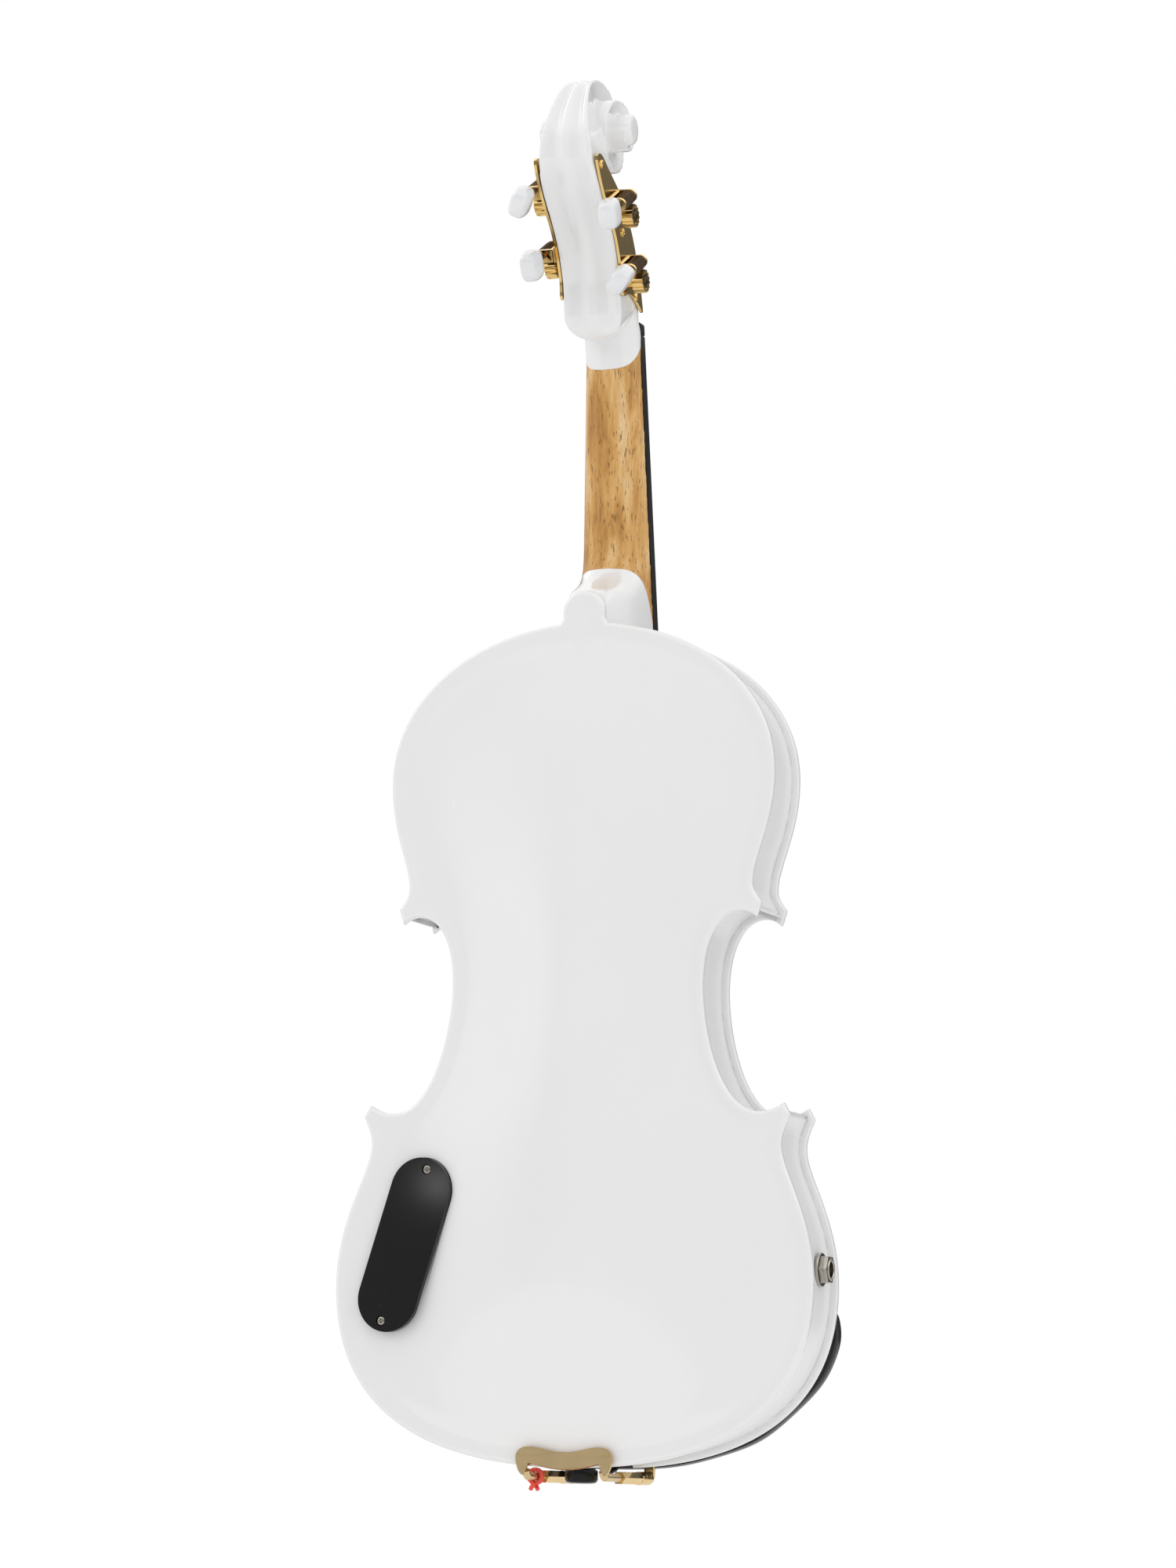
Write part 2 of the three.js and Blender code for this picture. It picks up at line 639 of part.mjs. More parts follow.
function buildRibs() {
  const band = loft([-halfRib, halfRib].map((y) => (
    bodyOutline(plateOverhang).map((p) => new THREE.Vector3(p.x, y, p.y))
  )));
  const inside = throughY(innerWallOutline(), -halfRib - cutOverrun, halfRib + cutOverrun, 6);
  const blocks = [
    box([-blockWidth / 2, -halfRib, -cutOverrun], [blockWidth / 2, halfRib, plateOverhang + blockDepth]),
    box([-blockWidth / 2, -halfRib, bodyLength - plateOverhang - blockDepth],
      [blockWidth / 2, halfRib, bodyLength]),
  ];
  const mortise = new THREE.ExtrudeGeometry(mortiseShape(),
    { depth: rootDepth + cutOverrun, bevelEnabled: false }).translate(0, 0,
      bodyLength - rootDepth - seatGap);
  const jackBore = rod(jack.bushRadius + seatGap, lowerBoutWidth / 4, 16).rotateZ(Math.PI / 2)
    .translate(-lowerBoutWidth / 2, 0, jack.z);
  const pinBore = rod(endButton.pinRadius + seatGap, 2 * (endButton.pinLength + cutOverrun),
    12).rotateX(Math.PI / 2);
  const hollow = carve(inside, ...blocks);
  addPiece('rib_garland', carve(band, hollow, mortise, jackBore, pinBore), whiteLacquer, 0.18, 0);
}

// Bass bar and sound post, seated under the belly's and the back's inner faces
const bassBar = {
  length: bodyLength * 0.736, width: 5.5, depth: 9, upperX: 13, lowerX: 19, centreZ: bodyLength / 2,
  endDepthShare: 0.35,
  fit: 1.2,
};
const soundPost = { radius: 3.1, x: 19.5, z: bodyLength * 0.4382, sides: 12 };

function buildInnerWood(back, belly) {
  const bellyTool = moved(belly, 0, seatGap, 0);
  const backTool = moved(back, 0, -seatGap, 0);
  const bottom = bassBar.centreZ - bassBar.length / 2;
  const place = (u, v) => {
    const x = -THREE.MathUtils.lerp(bassBar.lowerX, bassBar.upperX, v) + (u - 0.5) * bassBar.width;
    return [x, bottom + v * bassBar.length];
  };
  const crown = (x, z) => -halfRib - innerFace(bellyRise)(x, z);
  const depth = (z) => {
    const t = (z - bottom) / bassBar.length;
    return bassBar.depth * THREE.MathUtils.lerp(bassBar.endDepthShare, 1, Math.sin(Math.PI * t));
  };
  const bar = heightBlock(1, 8, place, (x, z) => crown(x, z) - bassBar.fit,
    (x, z) => crown(x, z) + depth(z));
  addPiece('bass_bar', carve(bar, bellyTool), spruce, 0.7, 0);

  const front = crown(soundPost.x, soundPost.z) - bassBar.fit;
  const rear = halfRib + innerFace(backRise)(soundPost.x, soundPost.z) + bassBar.fit;
  const post = rod(soundPost.radius, rear - front, soundPost.sides)
    .translate(soundPost.x, (rear + front) / 2, soundPost.z);
  addPiece('sound_post', carve(post, bellyTool, backTool), spruce, 0.7, 0);
}

// Neck, heel, pegbox and scroll from one piece of maple
const neckStations = [
  // height above the body's upper edge, back reach and squareness as shares
  { lift: -rootDepth, share: 1, square: 1 },
  { lift: 6.5, share: 1, square: 1 },
  { lift: 11, share: 0.965, square: 0.95 },
  { lift: 14.5, share: 0.86, square: 0.8 },
  { lift: 18, share: 0.62, square: 0.55 },
  { lift: 22, share: 0.36, square: 0.3 },
  { lift: 27, share: 0.14, square: 0.12 },
  { lift: 34, share: 0.02, square: 0 },
];
const throatSteps = 4;

function neckRing(z, depth, square, halfWidth) {
  const face = neckFace(z);
  const half = range(heelShares.length).map((i) => {
    const x = THREE.MathUtils.lerp(roundShares[i][0], heelShares[i][0], square);
    const y = THREE.MathUtils.lerp(roundShares[i][1], heelShares[i][1], square);
    return new THREE.Vector3(halfWidth * x, face + depth * y, z);
  });
  return [...half, ...half.slice(0, -1).reverse().map((p) => new THREE.Vector3(-p.x, p.y, p.z))];
}

function neckShaft() {
  const rings = neckStations.map(({ lift, share, square }) => {
    const z = bodyLength + lift;
    const toButton = halfRib - seatGap - neckFace(z);
    const depth = THREE.MathUtils.lerp(neckDepthAtHeel, toButton, share);
    return neckRing(z, depth, square, boardHalfWidth(z));
  });
  const start = bodyLength + neckStations[neckStations.length - 1].lift;
  const end = nutLevel;
  for (let i = 1; i <= throatSteps; i += 1) {
    const t = i / throatSteps;
    const z = THREE.MathUtils.lerp(start, end, t);
    const depth = THREE.MathUtils.lerp(neckDepthAtHeel, neckDepthAtNut, t);
    rings.push(neckRing(z, depth, 0, boardHalfWidth(z)));
  }
  return loft(rings);
}

// The head has its own frame: x across, y towards the back of the pegbox, z up along it from the nut
const headLength = 104;
const headY = -1.5;
const headZ = nutLevel - 3.7;
head.position.set(0, headY, headZ);
head.rotation.x = -headLean;
head.updateMatrix();

// Side view of the pegbox as [back reach, height] shares of the head length
const cheekFrontShares = [[-0.082, -0.012], [-0.106, 0.08], [-0.12, 0.19], [-0.115, 0.33],
  [-0.085, 0.46], [-0.046, 0.575], [-0.02, 0.66]];
const cheekBackShares = [[0.125, 0.83], [0.155, 0.77], [0.162, 0.71], [0.155, 0.635], [0.135, 0.56],
  [0.108, 0.48], [0.088, 0.37], [0.094, 0.22], [0.125, 0.135], [0.145, 0.065], [0.13, 0],
  [0.085, -0.055], [0.06, -0.1]];
const cavityShares = [[-0.19, 0.02], [0.045, 0.02], [0.07, 0.115], [0.052, 0.23], [0.05, 0.365],
  [0.066, 0.48], [0.082, 0.57], [0.05, 0.645], [-0.045, 0.63], [-0.19, 0.56]];
const chinRoundShare = 1;
const voluteCentreShares = [-0.165, 0.778];

// Radius and half width of the volute at every eighth of a turn, from behind over the top and inwards
const voluteRadius = 31.2;
const eyeHalfWidth = 21;
const turnRadiusShares = [1.3, 1, 0.795, 0.73, 0.705, 0.68, 0.641, 0.596, 0.551, 0.506, 0.468, 0.429,
  0.397, 0.365, 0.336, 0.308, 0.282, 0.256, 0.234, 0.212];
const turnWidthShares = [0.62, 0.552, 0.4, 0.281, 0.286, 0.324, 0.443, 0.533, 0.59, 0.629, 0.662, 0.7,
  0.743, 0.786, 0.824, 0.862, 0.895, 0.929, 0.962, 0.99];
const turnStepsPerEighth = { outer: 2, inner: 1.5 };
const sideHollow = 1.1;
const fluteDepth = 1.2;
const turnLap = 0.8;

const voluteLine = new THREE.CatmullRomCurve3(turnRadiusShares.map((share, i) => (
  new THREE.Vector3(share * voluteRadius, turnWidthShares[i] * eyeHalfWidth, 0)
)), false, 'catmullrom', 0.5);

function voluteAt(eighth) {
  const t = (eighth + 1) / (turnRadiusShares.length - 1);
  return voluteLine.getPoint(THREE.MathUtils.clamp(t, 0, 1));
}

function voluteTurn(from, to, stepsPerEighth) {
  const [centreY, centreZ] = voluteCentreShares.map((share) => share * headLength);
  const count = Math.round((to - from) * stepsPerEighth);
  const rings = range(count + 1).map((i) => {
    const eighth = from + (to - from) * i / count;
    const angle = eighth * Math.PI / 4;
    const { x: outer, y: width } = voluteAt(eighth);
    const inner = voluteAt(eighth + 8).x - turnLap;
    const flute = fluteDepth * THREE.MathUtils.clamp(6 - eighth, 0, 1);
    const hollow = Math.min(sideHollow, width / 6);
    const middle = (outer + inner) / 2;
    const section = [[width, outer], [width * 0.52, outer - flute], [0, outer],
      [-width * 0.52, outer - flute],
      [-width, outer], [-width + hollow, middle], [-width + hollow, inner], [width - hollow, inner],
      [width - hollow, middle]];
    return section.map(([x, radius]) => (
      new THREE.Vector3(x, centreY + radius * Math.cos(angle), centreZ + radius * Math.sin(angle))
    ));
  });
  return loft(rings);
}

function inHead(geometry) {
  return geometry.clone().applyMatrix4(head.matrix);
}

function pegboxFlute(side) {
  const line = cheekBackShares.slice(1, -2).map(([y, z]) => [y * headLength, z * headLength]);
  const radius = cheekHalfWidth * 0.62;
  const drop = radius - fluteDepth;
  const points = line.map(([y, z]) => [side * cheekHalfWidth * 0.47, y + drop, z]);
  return tube(points, radius, 6, 3);
}

function pegbox() {
  const scaled = (shares) => shares.map(([y, z]) => [y * headLength, z * headLength]);
  const [centreY, centreZ] = voluteCentreShares.map((share) => share * headLength);
  const profile = outlineShape([...scaled(cheekFrontShares), [centreY / 2, centreZ],
    ...scaled(cheekBackShares)]);
  const block = throughX(profile, -cheekHalfWidth, cheekHalfWidth);
  const plan = new THREE.Shape();
  const chin = cheekHalfWidth * chinRoundShare;
  plan.absellipse(0, chin * 0.68, cheekHalfWidth, chin, Math.PI, 2 * Math.PI, false, 0);
  plan.lineTo(cheekHalfWidth, headLength * 0.57);
  plan.lineTo(cheekHalfWidth * 0.93, headLength * 0.72);
  plan.lineTo(cheekHalfWidth * 0.8, headLength * 0.88);
  plan.lineTo(-cheekHalfWidth * 0.8, headLength * 0.88);
  plan.lineTo(-cheekHalfWidth * 0.93, headLength * 0.72);
  plan.lineTo(-cheekHalfWidth, headLength * 0.57);
  const body = common(block, throughY(plan, -headLength, headLength, 5));
  return carve(body, pegboxFlute(1), pegboxFlute(-1));
}

function pegboxCavity() {
  const wide = (boardWidthAtNut / 2) * 0.72;
  const narrow = wide * 0.78;
  const profile = outlineShape(cavityShares.map(([y, z]) => [y * headLength, z * headLength]));
  const plan = outlineShape([[-wide, 0], [wide, 0], [narrow, headLength * 0.7],
    [-narrow, headLength * 0.7]]);
  return common(throughX(profile, -wide, wide), throughY(plan, -headLength, headLength));
}

// Machine heads: heights of the string posts up the pegbox, from the nut, and where each string winds on
const machines = [
  { name: 'g', side: -1, z: headLength * 0.18, wind: 4.2, turn: 0.75 },
  { name: 'e', side: 1, z: headLength * 0.266, wind: 4.2, turn: 0.05 },
  { name: 'd', side: -1, z: headLength * 0.459, wind: 1.6, turn: -0.1 },
  { name: 'a', side: 1, z: headLength * 0.536, wind: 1.6, turn: 0.35 },
];
const postY = 1;
const postRadius = 2.3;
const postReach = 10.6;
const axleRadius = 1.6;
const gearTeeth = 14;
const gearRadius = 5.1;
const gearRoot = 4.3;
const gearWidth = 5;
const wormRadius = 3.2;
const wormRoot = 2.45;
const wormStart = -1.6;
const wormLength = 12.4;
const wormShaft = 1.3;
const shaftSides = 8;
const earThickness = 1.6;
const earWall = 1.7;
const plateInner = cheekHalfWidth + seatGap;
const plateOuter = plateInner + tunerPlate;
const wheelStandOff = 2;
const carrier = 0.9;
const earCornerShares = [[0, 1], [0.71, 0.71], [1, 0], [0.71, -0.71], [0, -1]];
const wormX = plateOuter + seatGap + gearWidth / 2 + wheelStandOff;
const wormRise = gearRadius + wormRoot + runningGap;
const wormPitch = Math.PI * (gearRadius + gearRoot) / gearTeeth;
const boreSides = 10;

// A bore whose flats clear a shaft that turns in it
function boreRadius(radius, clearance = runningFit) {
  return (radius + clearance) / Math.cos(Math.PI / boreSides);
}

function buildNeck() {
  const [centreY, centreZ] = voluteCentreShares.map((share) => share * headLength);
  const eyeRadius = voluteAt(turnRadiusShares.length - 2).x;
  const eye = rod(eyeRadius, 2 * eyeHalfWidth, 16).rotateZ(Math.PI / 2).translate(0, centreY, centreZ);
  const scroll = [
    voluteTurn(-0.4, 8.1, turnStepsPerEighth.outer),
    voluteTurn(7.9, 16.2, turnStepsPerEighth.inner),
    eye,
  ];
  const boreLength = postReach + seatGap + cheekHalfWidth + cutOverrun;
  const bores = machines.map(({ side, z }) => rod(boreRadius(postRadius), boreLength,
    boreSides).rotateZ(Math.PI / 2)
    .translate(side * (boreLength / 2 - postReach - seatGap), postY, z));
  const nutFace = box(
    [-2 * cheekHalfWidth, neckFace(nutLevel) - headLength, nutLevel - nutWidth - seatGap],
    [2 * cheekHalfWidth, neckFace(nutLevel), nutLevel + cutOverrun],
  );
  const wood = fuse(neckShaft(), ...[pegbox(), ...scroll].map(inHead));
  addPiece('neck_and_scroll', carve(wood, ...[pegboxCavity(), ...bores].map(inHead), nutFace),
    whiteLacquer, 0.2, 0);
}

// Fingerboard: crowned above, flat below, hollowed under its free end
const boardSections = 6;
const crownSteps = 6;
const boardHollow = { start: 0.62, depth: 3, wall: 5 };

function boardRing(z, raise) {
  const half = boardHalfWidth(z);
  const drop = boardRadius - Math.sqrt(boardRadius ** 2 - half ** 2);
  const low = neckFace(z) - seatGap;
  const top = range(crownSteps + 1).map((i) => {
    const x = half * (1 - 2 * i / crownSteps);
    const fall = boardRadius - Math.sqrt(boardRadius ** 2 - x ** 2);
    return new THREE.Vector3(x, low - boardSide - drop + fall - raise, z);
  });
  return [new THREE.Vector3(-half, low, z), new THREE.Vector3(half, low, z), ...top];
}

function boardCrown(z) {
  const half = boardHalfWidth(z);
  return neckFace(z) - seatGap - boardSide - boardRadius + Math.sqrt(boardRadius ** 2 - half ** 2);
}

const nutRaise = 0.7;

function buildBoard() {
  const top = nutLevel - nutWidth - seatGap;
  const bottom = top - boardLength;
  const levels = range(boardSections + 1).map((i) =>
    THREE.MathUtils.lerp(top, bottom, i / boardSections));
  const slab = loft(levels.map((z) => boardRing(z, 0)));
  const hollowFrom = THREE.MathUtils.lerp(top, bottom, boardHollow.start);
  const trough = loft([hollowFrom, bottom - cutOverrun].map((z) => {
    const half = boardHalfWidth(z) - boardHollow.wall;
    const low = neckFace(z);
    return [[-half, cutOverrun], [half, cutOverrun], [half * 0.7, -boardHollow.depth],
      [-half * 0.7, -boardHollow.depth]]
      .map(([x, y]) => new THREE.Vector3(x, low + y, z));
  }));
  addPiece('fingerboard', carve(slab, trough), ebonyBlack, 0.35, 0);

  const nutTop = nutLevel - seatGap;
  const nutLow = nutLevel - nutWidth;
  addPiece('nut', loft([nutTop, nutLow].map((z) => boardRing(z, nutRaise))), ebonyBlack, 0.3, 0);
}

// Strings: name, place across as a share of half the spread, and radius
const strings = [
  { name: 'g', share: -1, radius: 0.42 },
  { name: 'd', share: -1 / 3, radius: 0.4 },
  { name: 'a', share: 1 / 3, radius: 0.34 },
  { name: 'e', share: 1, radius: 0.3 },
];
const boardEnd = nutLevel - nutWidth - seatGap - boardLength;
const bridgeRadius = 42;

function crownAt(x, centre, radius) {
  return centre + radius - Math.sqrt(radius ** 2 - x ** 2);
}

const nutCrown = boardCrown(nutLevel) - nutRaise;
const stringSlope = (boardCrown(boardEnd) - stringLiftOverBoard - nutCrown) / (boardEnd - nutLevel);
const bridgeCrown = nutCrown + stringSlope * (bridgeLevel - nutLevel);

// Bridge: two feet, two kidney cuts and a heart, thinner towards the strings
const bridge = {
  width: 41.5, topWidth: 37, footWidth: 11.5, footHeight: 4.5, waist: 17, footThickness: 4.4,
  topThickness: 1.6, arch: 7.5, kidney: 4.1, heart: 2.6,
};
const bridgeCrownSteps = 8;
const bridgeArchSteps = 6;
const wedgeAllowance = 0.4;
const pickupSize = { width: 10, rise: 3, thickness: 1.8 };
const bridgeFoot = -edgeFace - archHeight(bridge.width / 3, bridgeLevel, bellyRise, archMargin,
  archReachShare);
const tail = { length: 108, wide: 42, narrow: 22, thickness: 5, bottom: 12, crown: 34, neckShare: 0.3 };
const saddleTop = -edgeFace - saddle.height;

function buildBridge(belly) {
  const foot = bridgeFoot + bassBar.fit;
  const height = foot - bridgeCrown;
  const half = bridge.width / 2;
  const inner = half - bridge.footWidth;
  const edge = bridge.topWidth / 2;
  const crown = (x) => foot - crownAt(x, bridgeCrown, bridgeRadius);
  const flank = [[0.9, bridge.footHeight / height], [0.68, 0.24], [0.7, 0.36], [0.93, 0.45],
    [0.96, 0.52], [0.88, 0.6]];
  const right = [[half, 0], ...flank.map(([x, h]) => [x * half, h * height])];
  const top = range(bridgeCrownSteps + 1).map((i) => {
    const x = edge * (1 - 2 * i / bridgeCrownSteps);
    return [x, crown(x)];
  });
  const left = right.map(([x, h]) => [-x, h]).reverse();
  const under = range(bridgeArchSteps + 1).map((i) => {
    const angle = Math.PI * i / bridgeArchSteps;
    return [-inner * Math.cos(angle), bridge.arch * Math.sin(angle)];
  });
  const shape = outlineShape([...right, ...top, ...left, ...under]);
  for (const side of [-1, 1]) {
    const kidney = new THREE.Path();
    kidney.absellipse(side * half * 0.56, height * 0.45, bridge.kidney, bridge.kidney * 0.66, 0,
      2 * Math.PI, true, 0);
    shape.holes.push(kidney);
  }
  const heart = new THREE.Path();
  heart.absellipse(0, height * 0.52, bridge.heart, bridge.heart * 1.2, 0, 2 * Math.PI, true, 0);
  shape.holes.push(heart);
  const options = { depth: bridge.footThickness, bevelEnabled: false, curveSegments: 6 };
  const blank = new THREE.ExtrudeGeometry(shape, options).rotateX(Math.PI)
    .translate(0, foot, bridgeLevel + bridge.footThickness / 2);
  const wedge = loft([foot + cutOverrun, bridgeCrown - cutOverrun].map((y, i) => {
    const reach = (i === 0 ? bridge.footThickness + wedgeAllowance : bridge.topThickness) / 2;
    return [[-half, -reach], [half, -reach], [half, reach], [-half, reach]]
      .map(([x, z]) => new THREE.Vector3(x, y, bridgeLevel + z));
  }));
  const fitted = carve(common(blank, wedge), moved(belly, 0, -seatGap, 0));
  addPiece('bridge', fitted, maple, 0.55, 0);

  const pad = { x: -half + bridge.footWidth / 2, z: bridgeLevel + bridge.footThickness / 2 + seatGap };
  const pickup = box(
    [pad.x - pickupSize.width / 2, foot - bridge.footHeight - pickupSize.rise, pad.z],
    [pad.x + pickupSize.width / 2, bridgeFoot - 2 * seatGap, pad.z + pickupSize.thickness],
  );
  addPiece('bridge_pickup', pickup, ebonyBlack, 0.5, 0);
}

// Saddle, tailpiece with four built-in fine tuners, tailgut and end button
const tailgutRadius = 1.1;
const tailDrop = 1.2;
const tailSpread = 27;
const gutSpread = 10;
const gutSeat = 7;
const tailStations = [
  { share: 0, width: 0.5 }, { share: 0.06, width: 0.6 }, { share: 0.2, width: 0.62 },
  { share: 0.45, width: 0.72 }, { share: 0.7, width: 0.88 }, { share: 0.88, width: 0.98 },
  { share: 0.96, width: 1 }, { share: 1, width: 0.86 },
];
const tailCrownSteps = 4;
const tuner = {
  pivot: 13, screwBack: 12.5, screwRadius: 1.5, headRadius: 3, headRise: 3.4, headBase: 3.1, tip: 1.6,
  sides: 8, leverWidth: 3, slotWidth: 3.8, slotUp: 5, slotDown: 3.4, arm: 15, armThickness: 1.5,
  hookRise: 3.4, hookReach: 2.6,
};
const tailBottom = saddle.depth + tail.bottom;
const tunerZ = tailBottom + tail.length - tuner.pivot;

// Under face of the tailpiece along its middle, in line with the strings' pull
function tailUnder(z) {
  const t = (z - saddle.depth) / (bridgeLevel - saddle.depth);
  return THREE.MathUtils.lerp(saddleTop - tailgutRadius, bridgeCrown, t) + tail.thickness + tailDrop;
}

const tailSlope = (tailUnder(bridgeLevel) - tailUnder(saddle.depth)) / (bridgeLevel - saddle.depth);

function crownFall(x, radius) {
  return radius - Math.sqrt(radius ** 2 - x ** 2);
}

const gutArcSteps = 6;
const gutRingLevel = 1.2;

function buildTail() {
  const saddleBlock = box(
    [-saddle.width / 2, saddleTop, plateOverhang / 2],
    [saddle.width / 2, -halfRib - seatGap, saddle.depth],
  );
  addPiece('saddle', saddleBlock, ebonyBlack, 0.3, 0);

  const rings = tailStations.map(({ share, width }) => {
    const z = tailBottom + share * tail.length;
    const half = width * tail.wide / 2;
    const top = tailUnder(z) - tail.thickness;
    const crown = range(tailCrownSteps + 1).map((i) => {
      const x = half * (1 - 2 * i / tailCrownSteps);
      return new THREE.Vector3(x, top + crownFall(x, tail.crown), z);
    });
    const under = range(3).map((i) => {
      const x = half * (i - 1);
      return new THREE.Vector3(x, top + crownFall(x, tail.crown) + tail.thickness * (i === 1 ? 1 : 0.6),
        z);
    });
    return [...under, ...crown];
  });
  const slots = strings.map(({ share }) => {
    const x = share * tailSpread / 2;
    const middle = tailUnder(tunerZ);
    return box([x - tuner.slotWidth / 2, middle - 3 * tail.thickness, tunerZ - tuner.slotDown],
      [x + tuner.slotWidth / 2, middle + 3 * tail.thickness, tunerZ + tuner.slotUp]);
  });
  const screwHoles = strings.map(({ share }) =>
    rod(boreRadius(tuner.screwRadius), 6 * tail.thickness, boreSides)
    .translate(share * tailSpread / 2, tailUnder(tunerZ), tunerZ - tuner.screwBack));
  const gutHoles = [-1, 1].map((side) => rod(tailgutRadius + seatGap, 6 * tail.thickness, 8)
    .translate(side * gutSpread / 2, tailUnder(tailBottom), tailBottom + gutSeat));
  addPiece('tailpiece', carve(loft(rings), ...slots, ...screwHoles, ...gutHoles), ebonyBlack, 0.3, 0);

  for (const { name, share } of strings) {
    const x = share * tailSpread / 2;
    const top = tailUnder(tunerZ) - tail.thickness + crownFall(x, tail.crown);
    const under = top + tail.thickness;
    const profile = [[0, 0], [tuner.screwRadius, 0],
      [tuner.screwRadius, -tail.thickness - tuner.headBase],
      [tuner.headRadius, -tail.thickness - tuner.headBase],
      [tuner.headRadius, -tail.thickness - tuner.headBase - tuner.headRise],
      [tuner.headRadius * 0.8, -tail.thickness - tuner.headBase - tuner.headRise * 1.2],
      [0, -tail.thickness - tuner.headBase - tuner.headRise * 1.2]];
    const screw = turned(profile, tuner.sides);
    const low = tailUnder(tunerZ - tuner.screwBack) - tail.thickness + crownFall(x, tail.crown);
    const seated = moved(screw, x, low + tail.thickness + tuner.tip, tunerZ - tuner.screwBack);
    addPiece(`fine_tuner_screw_${name}`, seated, gold, 0.25, 1);
    const arm = under + tuner.tip + seatGap;
    const armFront = arm + tuner.armThickness;
    const hookBack = top - tuner.hookRise;
    const hookFront = hookBack + tuner.armThickness;
    const lever = outlineShape([
      [arm, tunerZ - tuner.arm],
      [arm, tunerZ - tuner.armThickness],
      [hookBack, tunerZ - tuner.armThickness],
      [hookBack, tunerZ + tuner.hookReach],
      [hookFront, tunerZ + tuner.hookReach],
      [hookFront, tunerZ + tuner.armThickness / 2],
      [armFront, tunerZ + tuner.armThickness / 2],
      [armFront, tunerZ - tuner.arm],
    ].map(([y, z]) => [y + tailSlope * (z - tunerZ), z]));
    const half = tuner.leverWidth / 2;
    addPiece(`fine_tuner_lever_${name}`, throughX(lever, x - half, x + half), gold, 0.3, 1);
  }

  const gutX = gutSpread / 2;
  const gutY = tailUnder(tailBottom) + tailgutRadius;
  const over = saddleTop - tailgutRadius - seatGap;
  const saddleFront = plateOverhang / 2;
  const front = saddleFront - tailgutRadius - seatGap;
  const bend = (tailgutRadius + seatGap) * Math.SQRT1_2;
  const ringRadius = endButton.neckRadius + tailgutRadius + seatGap;
  const ringZ = gutRingLevel;
  const half = [
    [gutX, gutY - tail.thickness, tailBottom + gutSeat],
    [gutX, gutY, tailBottom + gutSeat],
    [gutX, gutY, tailBottom],
    [gutX, over, saddle.depth],
    [gutX, over, saddleFront],
    [gutX, saddleTop - bend, saddleFront - bend],
    [gutX, saddleTop, front],
    [gutX, -edgeFace - tailgutRadius, -tailgutRadius - seatGap],
    [ringRadius, -halfRib, -tailgutRadius - seatGap],
    [ringRadius, -halfRib + 2 * tailgutRadius, -tailgutRadius],
    [ringRadius, -halfRib / 2, ringZ],
    [ringRadius, 0, ringZ],
  ];
  const arc = range(gutArcSteps - 1).map((i) => {
    const angle = Math.PI * (i + 1) / gutArcSteps;
    return [ringRadius * Math.cos(angle), ringRadius * Math.sin(angle), ringZ];
  });
  const loop = [...half, ...arc, ...half.map(([x, y, z]) => [-x, y, z]).reverse()];
  addPiece('tailgut', cord(loop.map((p) => new THREE.Vector3(...p)), tailgutRadius, 2), ebonyBlack, 0.4,
    0);

  const { radius, neckRadius, pinRadius, pinLength, neckBase, headBase, headEnd, chamfer } = endButton;
  const pin = [[0, pinLength], [pinRadius * 0.9, pinLength], [pinRadius, neckBase],
    [neckRadius, neckBase], [neckRadius, headBase], [radius - chamfer, headBase],
    [radius, headBase - chamfer],
    [radius, headEnd + 2 * chamfer], [radius - 2 * chamfer, headEnd], [0, headEnd]];
  addPiece('end_button', turned(pin, 8).rotateX(Math.PI / 2), ebonyBlack, 0.2, 0);
}

// Strings, each from its post over nut and bridge to its fine tuner's hook
const windSteps = 9;
const windTurns = 1.2;
const stringRest = 0.1;
const hookGap = 0.55;
const windGap = 0.1;

function buildStrings() {
  strings.forEach(({ name, share, radius }) => {
    const machine = machines.find((entry) => entry.name === name);
    const lift = radius + stringRest;
    const nutX = share * stringSpreadAtNut / 2;
    const overNut = new THREE.Vector3(nutX, nutCrown + crownFall(nutX, boardRadius) - lift, nutLevel);
    const bridgeX = share * stringSpreadAtBridge / 2;
    const overBridge = new THREE.Vector3(bridgeX, bridgeCrown + crownFall(bridgeX, bridgeRadius) - lift,
      bridgeLevel);
    const tailX = share * tailSpread / 2;
    const hook = tailUnder(tunerZ) - tail.thickness + crownFall(tailX, tail.crown) - tuner.hookRise
      - lift - hookGap;
    const end = new THREE.Vector3(tailX, hook, tunerZ + tuner.hookReach / 2);

    const inside = overNut.clone().applyMatrix4(head.matrix.clone().invert());
    const reach = (postRadius + lift) / Math.cos(Math.PI * windTurns / windSteps);
    const dy = inside.y - postY;
    const dz = inside.z - machine.z;
    const first = Math.atan2(dz, dy) - Math.acos(reach / Math.hypot(dy, dz));
    const turns = range(windSteps + 1).map((i) => {
      const along = i / windSteps;
      const angle = first - windTurns * 2 * Math.PI * along;
      const x = machine.side * (machine.wind + windTurns * along * 2 * (radius + windGap));
      return new THREE.Vector3(x, postY + reach * Math.cos(angle), machine.z + reach * Math.sin(angle))
        .applyMatrix4(head.matrix);
    });
    const run = [...turns.reverse(), overNut, overBridge, end];
    addPiece(`string_${name}`, cord(run, radius, 3), 0xb9b9bb, 0.3, 1);
  });
}

